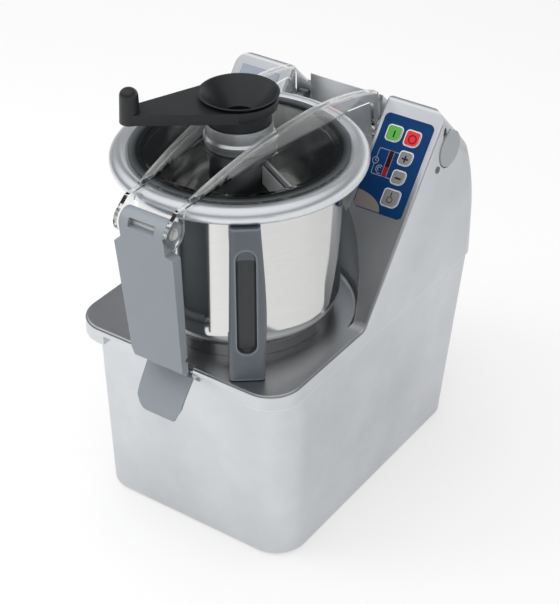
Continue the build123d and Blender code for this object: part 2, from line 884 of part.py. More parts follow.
def rim_outline():
    """Section of the rolled rim: seat for the lid inside, full round outside, open below."""
    crest_r = rim_radius - rim_crest
    curl_r = rim_radius - rim_lower_curl
    nose = ThreePointArc(
        (crest_r, rim_top), (rim_radius - rim_bulge, rim_top - rim_bulge), (rim_radius, rim_widest_z))
    under = ThreePointArc(
        (rim_radius, rim_widest_z), (rim_radius - 1.9, rim_bottom + rim_bulge), (curl_r, rim_bottom))
    rest = Polyline(
        (curl_r, rim_bottom),
        (bowl_radius, rim_bottom),
        (bowl_radius, rim_seat_z),
        (rim_seat_radius, rim_seat_z),
        (rim_seat_radius, rim_seat_z + rim_seat_wall),
        (crest_r, rim_top),
    )
    return make_face([*nose.edges(), *under.edges(), *rest.edges()])


rim_face = rim_outline()
rim_hollow = offset(rim_face, -rim_wall)
slit = bowl_radius + rim_wall, rim_radius - rim_crest - rim_wall
rim_hollow += Pos(sum(slit) / 2, rim_bottom + rim_wall) * Rectangle(slit[1] - slit[0], rim_slit)
save("bowl_rim", at_bowl() * revolve(Plane.XZ * (rim_face - rim_hollow), Axis.Z))

# Bowl handle: grip bar standing off the wall, with a finger channel down its outer face
handle_frame = at_bowl() * Rot(0, 0, handle_turn - 90)
handle_inner = bowl_radius - bowl_draft - handle_bite
handle_reach = handle_inner + finger_room + handle_bar
handle_top = rim_bottom - handle_drop
handle_foot_z = deck_top + handle_foot_gap
handle_gap_top = handle_top - handle_head
handle_gap_low = handle_foot_z + handle_heel


def handle_blank():
    """Side view and front view of the handle, each run through and kept where both agree."""
    side = [
        (handle_inner, handle_foot_z),
        (handle_reach - 1.0, handle_foot_z),
        (handle_reach, handle_gap_low + 6),
        (handle_reach, handle_gap_top - 16),
        (handle_reach - 5.0, handle_top),
        (handle_inner, handle_top),
    ]
    bulk = extrude(Plane.XZ * make_face(Polyline(*side, close=True)), grip_width, both=True)
    half = grip_width / 2
    gap_height = handle_gap_top - handle_gap_low
    width_curve = Spline(
        (grip_neck_width / 2, handle_gap_low),
        (half, handle_gap_low + 0.28 * gap_height),
        (half - 1.8, handle_gap_low + 0.78 * gap_height),
        (grip_end_width / 2, handle_top),
    )
    rest = Polyline(
        (grip_end_width / 2, handle_top),
        (-grip_end_width / 2, handle_top),
        (-grip_neck_width / 2, handle_gap_low),
        (-grip_neck_width / 2, handle_foot_z),
        (grip_neck_width / 2, handle_foot_z),
        (grip_neck_width / 2, handle_gap_low),
    )
    front = make_face([*width_curve.edges(), *rest.edges()])
    return bulk & extrude(Plane.YZ * front, 2 * handle_reach)


handle = handle_blank()
gap_size = (finger_room, 2 * grip_width, handle_gap_top - handle_gap_low)
finger_gap = Pos(handle_inner + finger_room / 2, 0, (handle_gap_low + handle_gap_top) / 2) * Box(*gap_size)
handle -= fillet(finger_gap.edges().filter_by(Axis.Y), handle_round)
outer_edges = handle.edges().filter_by(
    lambda e: e.center().X > handle_reach - handle_bar / 3 and abs(e.center().Y) > grip_end_width / 3)
handle = fillet(outer_edges, handle_round)
channel_low = handle_gap_low + 2
channel = Pos(handle_reach, 0, (channel_low + handle_gap_top) / 2) * Rot(0, 90, 0) * extrude(
    SlotOverall(handle_gap_top - channel_low, grip_channel_width), grip_channel_depth, both=True)
handle -= fillet(channel.faces().sort_by(Axis.X)[0].edges(), grip_channel_round)
handle = handle_frame * handle - bowl_block
handle -= disc(base_ring_radius, 0, bowl_bottom + 2 * handle_stud_inset)
studs = []
for z in (handle_gap_top + handle_stud_inset, handle_gap_low - handle_stud_inset):
    stud_spot = handle_frame * Pos(handle_inner, 0, z) * Rot(0, 90, 0)
    stud = stud_spot * Cylinder(handle_stud_radius, handle_stud_length)
    handle -= stud
    studs.append(stud - bowl_block)
save("bowl_handle", handle)
save("handle_studs", Compound(children=studs))

# Hinge pins, bushes and caps, one set in each horn
pins = []
bushes = []
caps = []
cap_back = half_width - cap_pocket + cap_gap
for side in (-1, 1):
    pins.append(cross_rod(pin_radius, side * (knuckle_in - 1), side * cap_back, hinge_y, hinge_z))
    bush_x = side * (cap_back - bush_length), side * cap_back
    bush = cross_rod(bush_radius, *bush_x, hinge_y, hinge_z)
    bushes.append(bush - cross_rod(pin_radius, *bush_x, hinge_y, hinge_z))
    cap = cross_rod(cap_radius, side * cap_back, side * (cap_back + cap_thick), hinge_y, hinge_z)
    outer_face = cap.faces().sort_by(Axis.X)[-1 if side > 0 else 0]
    caps.append(fillet(outer_face.edges(), cap_round))
save("hinge_pins", Compound(children=pins))
save("hinge_bushes", Compound(children=bushes))
save("hinge_caps", Compound(children=caps))

# Lid: clear domed disc with two arched ribs that end in ears in front and knuckles behind
over_rim = rim_top + rim_gap
rib_apex_z = rim_top + rib_rise
rib_rear_z = rim_top + rib_rear_rise
rib_mid_front_y = (rib_front_y + rib_apex_y) / 2
rib_mid_rear_y = (rib_apex_y + rib_rear_y) / 2


def rib_height(y):
    """Top of a rib: a shallow parabola in front of its apex and a steeper one behind."""
    if y < rib_apex_y:
        return rib_apex_z - (rib_apex_y - y) ** 2 / (2 * rib_front_run)
    return rib_apex_z - (rib_apex_z - rib_rear_z) * ((y - rib_apex_y) / (rib_rear_y - rib_apex_y)) ** 2


def lid_plate():
    """Domed disc with the hole for the scraper and a short skirt inside the bowl's rim."""
    skirt_r = bowl_radius - lid_skirt_inset
    shelf_z = rim_seat_z + seal_gap + seal_thick
    return revolve_about_bowl([
        (lid_hole_radius, lid_under),
        (collar_foot_radius + 2, lid_under),
        (skirt_r - lid_skirt_wall, lid_rim_top - lid_thick),
        (skirt_r - lid_skirt_wall, rim_top - lid_skirt_drop),
        (skirt_r, rim_top - lid_skirt_drop),
        (skirt_r, shelf_z),
        (lid_radius, shelf_z),
        (lid_radius, lid_rim_top),
        (skirt_r - 2, lid_rim_top),
        (collar_foot_radius + 4, lid_crown),
        (lid_hole_radius, lid_crown),
    ])


def rib(side):
    """Upright web with a flat flange on top, from over the ear to the hinge knuckle."""
    frame = Plane(
        origin=(side * rib_front_x, rib_front_y, 0), x_dir=(side * rib_spread, 1, 0),
        z_dir=(1, -side * rib_spread, 0),
    )

    def at(y, z):
        return (y - rib_front_y) * sqrt(1 + rib_spread**2), z

    def arch(y0, y1, y2, drop):
        return ThreePointArc(*(at(y, rib_height(y) - drop) for y in (y0, y1, y2)))

    def arches(drop):
        front = arch(rib_front_y, rib_mid_front_y, rib_apex_y, drop)
        return [*front.edges(), *arch(rib_apex_y, rib_mid_rear_y, rib_rear_y, drop).edges()]

    edge_x = rib_front_x + rib_spread * (rib_rear_y / 2 - rib_front_y)
    lid_rear_y = bowl_y + sqrt(lid_radius**2 - edge_x**2)
    rim_rear_y = bowl_y + sqrt(rim_radius**2 - edge_x**2)
    lid_front_y = bowl_y - sqrt(lid_radius**2 - rib_front_x**2)
    barrel_side = knuckle_radius / sqrt(2)
    nose_end = at(leg_back_y, rib_rear_z - 15.5)
    nose = ThreePointArc(at(rib_rear_y, rib_rear_z), at(leg_back_y - 2.0, rib_rear_z - 6.5), nose_end)
    below = Polyline(
        nose_end,
        at(leg_back_y, hinge_z + knuckle_radius + 2),
        at(hinge_y - barrel_side + 2, hinge_z + barrel_side + 1),
        at(hinge_y, hinge_z),
        at(hinge_y - barrel_side, hinge_z - barrel_side),
        at(leg_front_y + 5, hinge_z - 3),
        at(leg_front_y, over_rim - leg_throat),
        at(leg_front_y - 2, over_rim - leg_throat + 4),
        at(leg_front_y - 6, over_rim - leg_throat + 5.8),
        at(rim_rear_y, over_rim),
        at(lid_rear_y - 2, over_rim),
        at(lid_rear_y - 2, lid_rim_top - 1),
        at(lid_front_y + 3, lid_rim_top - 1),
        at(lid_front_y + 3, over_rim),
        at(rib_front_y, over_rim),
        at(rib_front_y, rib_height(rib_front_y)),
    )
    web = frame * make_face([*arches(0), *nose.edges(), *below.edges()])
    ends = [
        Line(at(y, rib_height(y) - rib_flange_thick), at(y, rib_height(y))) for y in (rib_front_y, rib_rear_y)
    ]
    flange = frame * make_face([
        *arches(0), *arches(rib_flange_thick), *ends[0].edges(), *ends[1].edges()])
    return extrude(web, rib_wall / 2, both=True) + extrude(flange, rib_flange / 2, both=True)


def ear(side):
    """Ear over the rim, ending in the boss that carries the latch, with a short spur below it."""
    lid_front_y = bowl_y - sqrt(lid_radius**2 - rib_front_x**2)
    rib_start_z = rib_height(rib_front_y)
    outline = [
        (lid_front_y, over_rim),
        (lid_front_y, rib_start_z),
        (latch_y + 5.0, rib_start_z - 1.0),
        (latch_y - ear_radius * 0.6, latch_z + ear_radius * 0.8),
        (latch_y, latch_z),
        (latch_y + ear_radius, latch_z),
        (latch_y + ear_radius + 0.3, rim_widest_z),
        (latch_y + ear_radius + 4.0, over_rim),
    ]
    x_ear = side * ear_inner_x, side * (ear_inner_x + ear_wall)
    spur_root = latch_z - ear_radius + 3.5
    spur_tip = latch_z - ear_radius - spur_length
    spur = [
        (latch_y - 2, spur_root),
        (latch_y + 2, spur_root),
        (latch_y + 0.6, spur_tip),
        (latch_y - 0.6, spur_tip),
    ]
    solid = side_prism(outline, *x_ear) + cross_rod(ear_radius, *x_ear, latch_y, latch_z)
    return solid + side_prism(spur, side * (ear_inner_x + 1), side * (ear_inner_x + ear_wall - 1))


def build_lid():
    lid = lid_plate()
    for side in (-1, 1):
        lid += rib(side) + ear(side)
        x_ear = side * ear_inner_x, side * (ear_inner_x + ear_wall)
        lid -= cross_rod(latch_pin_radius - latch_pin_step, *x_ear, latch_y, latch_z)
        x_knuckle = side * knuckle_in, side * (knuckle_in + knuckle_width)
        lid += cross_rod(knuckle_radius, *x_knuckle, hinge_y, hinge_z)
        lid -= cross_rod(pin_radius + running_gap, *x_knuckle, hinge_y, hinge_z)
    return lid


save("lid", build_lid())
save("lid_seal", ring(lid_radius - 0.4, bowl_radius - lid_skirt_inset + 0.6, rim_seat_z + seal_gap,
                      rim_seat_z + seal_gap + seal_thick))
collar_bore = lid_hole_radius + collar_fit
save("lid_collar", revolve_about_bowl([
    (collar_bore, lid_crown),
    (collar_foot_radius - 1.6, lid_crown),
    (collar_foot_radius - 1.2, lid_crown + collar_bead - 4),
    (collar_foot_radius, lid_crown + collar_bead - 3),
    (collar_foot_radius, lid_crown + collar_bead),
    (collar_top_radius + 0.2, lid_crown + collar_bead + 2.5),
    (collar_top_radius, lid_crown + collar_height),
    (collar_bore, lid_crown + collar_height),
]))

# Scraper: funnel with crank above the lid, hub with carrier and wiper below it
hub_top = lid_under - scraper_gap
collar_top = lid_crown + collar_height
funnel_top = collar_top + funnel_height
feed_throat_z = funnel_top - feed_throat_drop


def build_crank():
    neck_top = funnel_top - funnel_lip
    flare_middle = (neck_radius + 2.0, (neck_top + funnel_top) / 2)
    flare = ThreePointArc((neck_radius, neck_top), flare_middle, (funnel_radius, funnel_top))
    sleeve = lid_hole_radius - scraper_gap
    rest = Polyline(
        (funnel_radius, funnel_top),
        (funnel_radius - funnel_wall, funnel_top),
        (feed_radius, feed_throat_z),
        (feed_radius, hub_top),
        (sleeve, hub_top),
        (sleeve, collar_top + scraper_gap),
        (neck_radius, collar_top + scraper_gap),
        (neck_radius, neck_top),
    )
    body = revolve(Plane.XZ * make_face([*flare.edges(), *rest.edges()]), Axis.Z)
    root_r = funnel_radius - 1.0
    knob_r = crank_knob_radius
    ease = asin((root_r - knob_r) / crank_reach)
    arm_half = [
        (root_r * sin(ease), root_r * cos(ease)),
        (crank_reach + knob_r * sin(ease), knob_r * cos(ease)),
    ]
    arm_plan = make_face(Polyline(*arm_half, *((x, -y) for x, y in reversed(arm_half)), close=True))
    arm_low = funnel_top - crank_drop - crank_thick
    arm = Pos(0, 0, arm_low) * extrude(arm_plan, crank_thick)
    arm -= Pos(0, 0, (funnel_top + feed_throat_z) / 2) * Cone(
        feed_radius, funnel_radius - funnel_wall, funnel_top - feed_throat_z)
    arm -= Pos(0, 0, arm_low) * Cylinder(feed_radius, 4 * crank_thick)
    knob_top = funnel_top + crank_knob_rise
    knob = Pos(crank_reach, 0, (arm_low + knob_top) / 2) * Cone(
        knob_r + crank_knob_taper, knob_r - crank_knob_taper, knob_top - arm_low)
    knob = fillet(knob.faces().sort_by(Axis.Z)[-1].edges(), knob_r - 2 * crank_knob_taper)
    return at_bowl() * Rot(0, 0, crank_turn) * (body + arm + knob)


save("scraper_crank", build_crank())
hub_low = rim_top - hub_drop
wiper_low = bowl_bottom + wiper_rise
shoulder_z = rim_top - wiper_shoulder_drop
elbow_z = rim_top - wiper_elbow_drop


def wiper_face(inset):
    """Bent arm seen from the side: slopes out from the hub, then runs down the bowl's wall."""
    root = hub_radius - 2
    return make_face(Polyline(
        (root, hub_low + 9 - inset),
        (wiper_reach - inset, shoulder_z - inset),
        (wiper_reach - inset, elbow_z),
        (wiper_low_reach - inset, wiper_low + inset),
        (wiper_low_reach - 0.75 * wiper_width + inset, wiper_low + inset),
        (wiper_reach - wiper_width + inset, elbow_z - 4),
        (root, hub_low - 15 + inset),
        close=True,
    ))


hub = ring(hub_radius, feed_radius, hub_low, hub_top)
hub += ring(hub_flange_radius, feed_radius, hub_top - hub_flange_thick, hub_top)
hub_skirt_low = hub_low - hub_skirt_drop
skirt_cut = at_bowl() * Plane.XZ * make_face(Polyline(
    (-hub_radius - 1, hub_low + 1),
    (-hub_radius - 1, hub_skirt_low - 7),
    (hub_radius + 1, hub_skirt_low - 7),
    (4, hub_low - 8),
    close=True,
))
hub += ring(hub_radius, hub_radius - hub_skirt_wall, hub_skirt_low, hub_low) - extrude(
    skirt_cut, 2 * hub_radius, both=True)
carrier = at_bowl() * extrude(Plane.XZ * wiper_face(carrier_inset), carrier_thick)
hub += carrier - disc(feed_radius + 3, wiper_low, hub_top)
save("scraper_hub", hub)
wiper = at_bowl() * Pos(0, wiper_thick, 0) * extrude(Plane.XZ * wiper_face(0.0), wiper_thick)
save("scraper_blade", wiper - disc(hub_radius, wiper_low, hub_top))

# Latch plate on the ears: barrel above, tapering channel-shaped plate below
latch_low_z = deck_top + latch_foot_rise
latch_shoulder_z = latch_z - latch_shoulder_drop
front_lean = latch_lean / (latch_z - latch_low_z)
tongue_pin_y = -half_depth - tongue_pin_front
tongue_pin_z = deck_top + tongue_pin_rise


def front_at(z):
    """The plate's front face leans back towards the casing as it goes down."""
    return latch_y - latch_barrel_radius + front_lean * (latch_z - z)


def latch_plate_solid():
    side = make_face(Polyline(
        (front_at(latch_z), latch_z),
        (front_at(latch_low_z), latch_low_z),
        (front_at(latch_low_z) + latch_depth - 2.0, latch_low_z - 4.0),
        (front_at(latch_shoulder_z) + latch_depth, latch_shoulder_z + 2.0),
        (latch_y + 2, latch_shoulder_z + 6),
        (latch_y + 4, latch_z),
        close=True,
    ))
    bulk = extrude(Plane.YZ * side, latch_half_shoulder, both=True)
    front = make_face(Polyline(
        (-latch_half_knuckle, latch_z + 5),
        (latch_half_knuckle, latch_z + 5),
        (latch_half_knuckle, latch_shoulder_z + 3),
        (latch_half_shoulder, latch_shoulder_z),
        (latch_half_foot, latch_low_z - 5),
        (-latch_half_foot + 4, latch_low_z - 5),
        (-latch_half_foot - 0.4, latch_low_z + 8),
        (-latch_half_shoulder, latch_shoulder_z),
        (-latch_half_knuckle, latch_shoulder_z + 3),
        close=True,
    ))
    return bulk & extrude(Plane.XZ * front, casing_depth)


plate = latch_plate_solid()
cavity_top = latch_shoulder_z - 6
cavity_low = latch_low_z - 12
cavity_half = latch_half_foot - latch_wall
plate -= side_prism([
    (front_at(cavity_top) + latch_wall, cavity_top),
    (front_at(cavity_low) + latch_wall, cavity_low),
    (front_at(cavity_low) + 3 * latch_depth, cavity_low),
    (front_at(cavity_top) + 3 * latch_depth, cavity_top),
], -cavity_half, cavity_half)
knuckle_span = -latch_half_knuckle, latch_half_knuckle
plate += cross_rod(latch_barrel_radius, *knuckle_span, latch_y, latch_z)
plate -= cross_rod(latch_pin_radius + pin_clearance, *knuckle_span, latch_y, latch_z)
plate -= span(-latch_slot_half, latch_slot_half, latch_y - 2 * latch_barrel_radius, latch_y,
              latch_z - 0.8, latch_z - 0.8 + latch_slot_height)
plate -= cross_rod(tongue_pin_radius, -latch_half_shoulder, latch_half_shoulder, tongue_pin_y, tongue_pin_z)
save("latch_plate", plate)
body_end = latch_half_knuckle + ear_gap - 0.2
pin_end = ear_inner_x + ear_wall
save("latch_pin", cross_rod(latch_pin_radius, -body_end, body_end, latch_y, latch_z)
     + cross_rod(latch_pin_radius - latch_pin_step, -pin_end, pin_end, latch_y, latch_z))

# Tongue: sprung lever in the latch plate, hooked behind the catch, with a curled finger tab
pin_half = latch_half_foot - 0.6
save("tongue_pin", cross_rod(tongue_pin_radius, -pin_half, pin_half, tongue_pin_y, tongue_pin_z))
hook_root_y = -half_depth - hook_front_gap
hook_top_z = deck_top - hook_drop
hook_tip_z = hook_top_z - hook_height
hook_reach = hook_height / tan(radians(hook_angle))
tongue_arm = side_prism([
    (tongue_pin_y - 2.0, tongue_pin_z),
    (tongue_pin_y + 2.4, tongue_pin_z),
    (hook_root_y - 0.4, hook_top_z + 8),
    (hook_root_y, hook_top_z),
    (hook_root_y + hook_reach, hook_tip_z),
    (hook_root_y + hook_reach - 0.6, hook_tip_z - 1.6),
    (hook_root_y - 3.4, hook_tip_z - 2.0),
    (hook_root_y - 3.6, hook_top_z + 7),
], -tongue_web_half, tongue_web_half)
barrel_radius = tongue_pin_radius + tongue_barrel_wall
tongue_arm += cross_rod(barrel_radius, -tongue_web_half, tongue_web_half, tongue_pin_y, tongue_pin_z)
tab_top_y = -half_depth - tongue_thick / 2 - tongue_gap
tab_path = Spline(
    (tab_top_y, hook_top_z - 1),
    (tab_top_y - 9.9, hook_top_z - 14),
    (tab_top_y - 17.9, hook_top_z - 26.5),
    (tab_top_y - 21.0, hook_top_z - 35.5),
    (tab_top_y - 19.4, hook_top_z - 45),
)
tab = extrude(Plane.YZ * trace(tab_path, tongue_thick), tongue_half, both=True)
tab_side = [(tongue_half, 2), (tongue_half - 1.5, -29), (tongue_half - 9, -44), (tongue_half - 16, -48)]
tab_right = [(x, hook_top_z + z) for x, z in tab_side]
tab_left = [(-x, z) for x, z in reversed(tab_right)]
tab_front = make_face(Polyline(*tab_right, *tab_left, close=True))
tab &= extrude(Plane.XZ * tab_front, casing_depth)
bore_radius = tongue_pin_radius + pin_clearance
tongue_bore = cross_rod(bore_radius, -tongue_half, tongue_half, tongue_pin_y, tongue_pin_z)
save("latch_tongue", tongue_arm + tab - tongue_bore)

# Catch: steel striker screwed in the notch, its lower inner edge facing the hook
catch_back = -half_depth + notch_depth
catch_front = hook_root_y + hook_gap / sin(radians(hook_angle))
catch_tip = hook_height - 1.0
catch_half = notch_half - notch_side_gap
save("latch_catch", side_prism([
    (catch_back, hook_top_z - catch_tip),
    (catch_back, deck_top - edge_round),
    (catch_front, deck_top - edge_round),
    (catch_front, hook_top_z),
    (catch_front + catch_tip / tan(radians(hook_angle)), hook_top_z - catch_tip),
], -catch_half, catch_half))

# Control panel: recessed plate with passages for the keys, a display window, keys and board
panel = on_slope(panel_x, panel_along, -panel_sink) * extrude(panel_outline, panel_thick)
display_spot = on_slope(display_x, panel_along, panel_proud - panel_thick / 2)
display = display_spot * extrude(Rectangle(display_width, display_height), display_thick)
panel -= display_spot * extrude(Rectangle(display_width, display_height), panel_thick)
key_low = key_proud + panel_proud - key_thick
stem_low = key_travel + key_gap - board_depth
for name, x, along, width, height in key_table:
    passage = extrude(key_outline(width, height, key_gap), 4 * panel_thick)
    panel -= on_slope(x, along, -2 * panel_thick) * passage
    key = on_slope(x, along, key_low) * extrude(key_outline(width, height, 0), key_thick)
    key += on_slope(x, along, (stem_low + key_low) / 2) * Cylinder(key_stem_radius, key_low - stem_low)
    save(name, key)
save("control_panel", panel)
save("speed_display", display)
board_outline = RectangleRounded(board_width, board_height, 2)
save("control_board", on_slope(panel_x, panel_along, -board_depth - board_thick) * extrude(
    board_outline, board_thick))
save("horn_label", on_slope(label_x, label_along, -label_sink) * extrude(label_outline, label_thick))
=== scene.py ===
from math import cos, radians, sin

import bmesh
import bpy
from mathutils import Matrix, Vector


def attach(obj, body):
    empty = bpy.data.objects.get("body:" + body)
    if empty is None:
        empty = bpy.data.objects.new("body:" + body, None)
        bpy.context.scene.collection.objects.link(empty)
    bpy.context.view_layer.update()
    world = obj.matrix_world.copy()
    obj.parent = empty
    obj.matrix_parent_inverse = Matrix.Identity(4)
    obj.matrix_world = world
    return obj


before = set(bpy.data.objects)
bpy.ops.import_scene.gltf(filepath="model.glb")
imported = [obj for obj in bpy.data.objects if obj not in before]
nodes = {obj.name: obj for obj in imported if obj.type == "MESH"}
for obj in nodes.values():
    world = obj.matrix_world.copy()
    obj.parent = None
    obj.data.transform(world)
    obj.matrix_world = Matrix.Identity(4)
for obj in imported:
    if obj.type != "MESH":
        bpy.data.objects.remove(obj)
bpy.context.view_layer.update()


# Lower casing: a tapered aluminium casting, tumbled to a pale satin skin with faint clouds in it.
# Its finish is shared by the top casing, so the shader groups for cast metal are built here.
def feed(tree, made, feeds):
    """Gives a node's inputs, by name or number, plain values or links from other sockets."""
    for label, value in feeds.items():
        socket = made.inputs[label]
        if isinstance(value, bpy.types.NodeSocket):
            tree.links.new(value, socket)
        elif socket.type == "RGBA":
            socket.default_value = (*value, 1)
        else:
            socket.default_value = value


def node(tree, kind, feeds=None, **settings):
    """Adds a shader node with its settings and feeds its inputs."""
    made = tree.nodes.new("ShaderNode" + kind)
    for key, value in settings.items():
        setattr(made, key, value)
    feed(tree, made, feeds or {})
    return made


def maths(tree, operation, *values, clamp=False):
    feeds = dict(enumerate(values))
    return node(tree, "Math", feeds, operation=operation, use_clamp=clamp).outputs[0]


def axis_of(tree, vector, axis):
    return node(tree, "SeparateXYZ", {0: vector}).outputs[axis]


def noise(tree, coords, scale, detail, rough=0.5):
    feeds = {"Vector": coords, "Scale": scale, "Detail": detail, "Roughness": rough}
    return node(tree, "TexNoise", feeds).outputs["Fac"]


def ranged(tree, value, low, high, start=0.0, stop=1.0):
    """Maps start..stop onto low..high, and holds the ends."""
    feeds = {"Value": value, "From Min": start, "From Max": stop, "To Min": low, "To Max": high}
    return node(tree, "MapRange", feeds).outputs["Result"]


def blend(tree, mask, low, high, kind="RGBA"):
    """Goes from low to high as the mask goes from 0 to 1."""
    feeds = {"Factor": mask, "A": low, "B": high}
    return node(tree, "Mix", feeds, data_type=kind).outputs["Result"]


def scaled(tree, colour, tone):
    feeds = {0: colour, "Scale": tone}
    return node(tree, "VectorMath", feeds, operation="SCALE").outputs["Vector"]


def bump(tree, height, distance, strength):
    feeds = {"Height": height, "Distance": distance, "Strength": strength}
    return node(tree, "Bump", feeds).outputs["Normal"]


def shader_group(name, inputs, outputs):
    """New shader group with named sockets; returns it with its two end nodes."""
    group = bpy.data.node_groups.new(name, "ShaderNodeTree")
    for label, kind, default in inputs:
        socket = group.interface.new_socket(label, in_out="INPUT", socket_type="NodeSocket" + kind)
        socket.default_value = default
    for label in outputs:
        group.interface.new_socket(label, in_out="OUTPUT", socket_type="NodeSocketFloat")
    return group, group.nodes.new("NodeGroupInput"), group.nodes.new("NodeGroupOutput")


def place(tree, group, feeds):
    """Puts a shader group in a material with that material's own values."""
    return node(tree, "Group", feeds, node_tree=group)


def build_cast_skin():
    """Clouds and pinpricks of a tumbled casting: a tint mask and a height."""
    inputs = (
        ("Vector", "Vector", (0, 0, 0)), ("Cloud Scale", "Float", 9.0), ("Grain Scale", "Float", 900.0))
    group, start, end = shader_group("cast_skin", inputs, ("Cloud", "Height"))
    coords = start.outputs["Vector"]
    clouds = noise(group, coords, start.outputs["Cloud Scale"], 4.0, 0.6)
    pinpricks = noise(group, coords, start.outputs["Grain Scale"], 2.0, 0.7)
    dents = noise(group, coords, 140.0, 3.0, 0.6)
    height = maths(group, "ADD", maths(group, "MULTIPLY", pinpricks, 0.5), dents)
    feed(group, end, {"Cloud": clouds, "Height": height})
    return group


def build_edge_mask():
    """1 on edges within a small radius, 0 on flat faces."""
    group, start, end = shader_group("edge_mask", (("Radius", "Float", 0.0012),), ("Mask",))
    rounded = node(group, "Bevel", {"Radius": start.outputs["Radius"]}, samples=4).outputs["Normal"]
    flat = node(group, "NewGeometry").outputs["Normal"]
    alike = node(group, "VectorMath", {0: rounded, 1: flat}, operation="DOT_PRODUCT").outputs["Value"]
    turned = maths(group, "SUBTRACT", 1.0, alike)
    feed(group, end, {"Mask": maths(group, "MULTIPLY", turned, 6.0, clamp=True)})
    return group


def build_painted_shade_tone():
    """Painted shade and light on the casing: darker on the deck towards the bowl and at the foot of the
    slope, lighter high on the slope.
    """
    group, start, end = shader_group("painted_shade_tone", (("Vector", "Vector", (0, 0, 0)),), ("Tone",))
    across = axis_of(group, start.outputs["Vector"], "X")
    height = axis_of(group, start.outputs["Vector"], "Z")
    normal = node(group, "NewGeometry").outputs["Normal"]
    facing_side = maths(group, "ABSOLUTE", axis_of(group, normal, "X"))
    facing_up = axis_of(group, normal, "Z")
    slope_tone = ranged(group, height, 0.50, 1.24, start=0.225, stop=0.400)
    deck_tone = ranged(group, across, 0.95, 0.85, start=-0.10, stop=-0.02)
    on_deck = ranged(group, facing_up, 0.0, 1.0, start=0.80, stop=0.95)
    off_walls = ranged(group, facing_up, 0.0, 1.0, start=0.35, stop=0.55)
    tone = blend(group, on_deck, slope_tone, deck_tone, "FLOAT")
    tone = blend(group, off_walls, 1.0, tone, "FLOAT")
    # The floors of the hinge pockets lie 3 mm in from the sides and get a painted shade
    pocket_inner = 0.1225
    pocket_outer = 0.1272
    pocket_low = 0.33
    inward = maths(group, "ABSOLUTE", across)
    tests = (
        maths(group, "GREATER_THAN", inward, pocket_inner),
        maths(group, "LESS_THAN", inward, pocket_outer),
        maths(group, "GREATER_THAN", height, pocket_low),
        maths(group, "GREATER_THAN", facing_side, 0.95),
    )
    darkened = 0.85
    for test in tests:
        darkened = maths(group, "MULTIPLY", test, darkened)
    kept = maths(group, "SUBTRACT", 1.0, darkened)
    feed(group, end, {"Tone": maths(group, "MULTIPLY", tone, kept)})
    return group


cast_skin = build_cast_skin()
edge_mask = build_edge_mask()
painted_shade_tone = build_painted_shade_tone()


def finish(name, metallic=0.0, ior=1.5):
    """New material; returns it with its node tree, its shader and its object coordinates."""
    material = bpy.data.materials.new(name)
    material.use_nodes = True
    tree = material.node_tree
    shader = tree.nodes["Principled BSDF"]
    feed(tree, shader, {"Metallic": metallic, "IOR": ior})
    return material, tree, shader, node(tree, "TexCoord").outputs["Object"]


def cast_metal(name, dark, light, rough_low, rough_high, metallic=1.0, painted_shade=False):
    """Tumbled casting: clouds in its tone and gloss, painted highlights on its edges, and painted shade
    and light where asked.
    """
    material, tree, shader, coords = finish(name, metallic=metallic)
    skin = place(tree, cast_skin, {"Vector": coords}).outputs
    colour = blend(tree, skin["Cloud"], dark, light)
    # Painted shade and light from the tone group darken or lighten the casting's colour
    if painted_shade:
        tone = place(tree, painted_shade_tone, {"Vector": coords}).outputs["Tone"]
        brightest = (0.97, 0.97, 0.97)
        toned = {0: scaled(tree, colour, tone), 1: brightest}
        colour = node(tree, "VectorMath", toned, operation="MINIMUM").outputs["Vector"]
    # Painted highlight: edges are mixed towards near white
    edge_highlight = place(tree, edge_mask, {"Radius": 0.0015}).outputs["Mask"]
    colour = blend(tree, maths(tree, "MULTIPLY", edge_highlight, 0.8), colour, (0.95, 0.96, 0.97))
    feed(tree, shader, {
        "Base Color": colour,
        "Roughness": ranged(tree, skin["Cloud"], rough_low, rough_high),
        "Normal": bump(tree, skin["Height"], 0.00012, 0.35),
    })
    return material


def dress(material, *names):
    for name in names:
        nodes[name].data.materials.clear()
        nodes[name].data.materials.append(material)


# The casing's colour carries painted shade and light on the deck, the slope and the hinge pockets
casing_metal = cast_metal(
    "tumbled_aluminium", (0.56, 0.58, 0.60), (0.86, 0.88, 0.90), 0.28, 0.38, painted_shade=True)
dress(casing_metal, "lower_casing", "top_casing", "motor_housing")


# Base: a folded steel plate with air slots, on four rubber feet held by the tie bolts. The plated
# and turned steel parts of the drive and the hinge share its finishes.
def build_moulded_grain():
    """Fine spark-eroded grain from the mould, and slow drifts in tone and gloss."""
    inputs = (("Vector", "Vector", (0, 0, 0)), ("Drift Scale", "Float", 18.0))
    group, start, end = shader_group("moulded_grain", inputs, ("Drift", "Grain"))
    coords = start.outputs["Vector"]
    drift = noise(group, coords, start.outputs["Drift Scale"], 3.0)
    feed(group, end, {"Drift": drift, "Grain": noise(group, coords, 1400.0, 2.0)})
    return group


def build_turned_lines():
    """Fine lines from a lathe or a brush, packed along the axis that Stretch makes long."""
    inputs = (("Vector", "Vector", (0, 0, 0)), ("Stretch", "Vector", (1, 1, 60)))
    group, start, end = shader_group("turned_lines", inputs, ("Lines",))
    feeds = {"Vector": start.outputs["Vector"], "Scale": start.outputs["Stretch"]}
    packed = node(group, "Mapping", feeds).outputs["Vector"]
    feed(group, end, {"Lines": noise(group, packed, 30.0, 5.0, 0.7)})
    return group


moulded_grain = build_moulded_grain()
turned_lines = build_turned_lines()


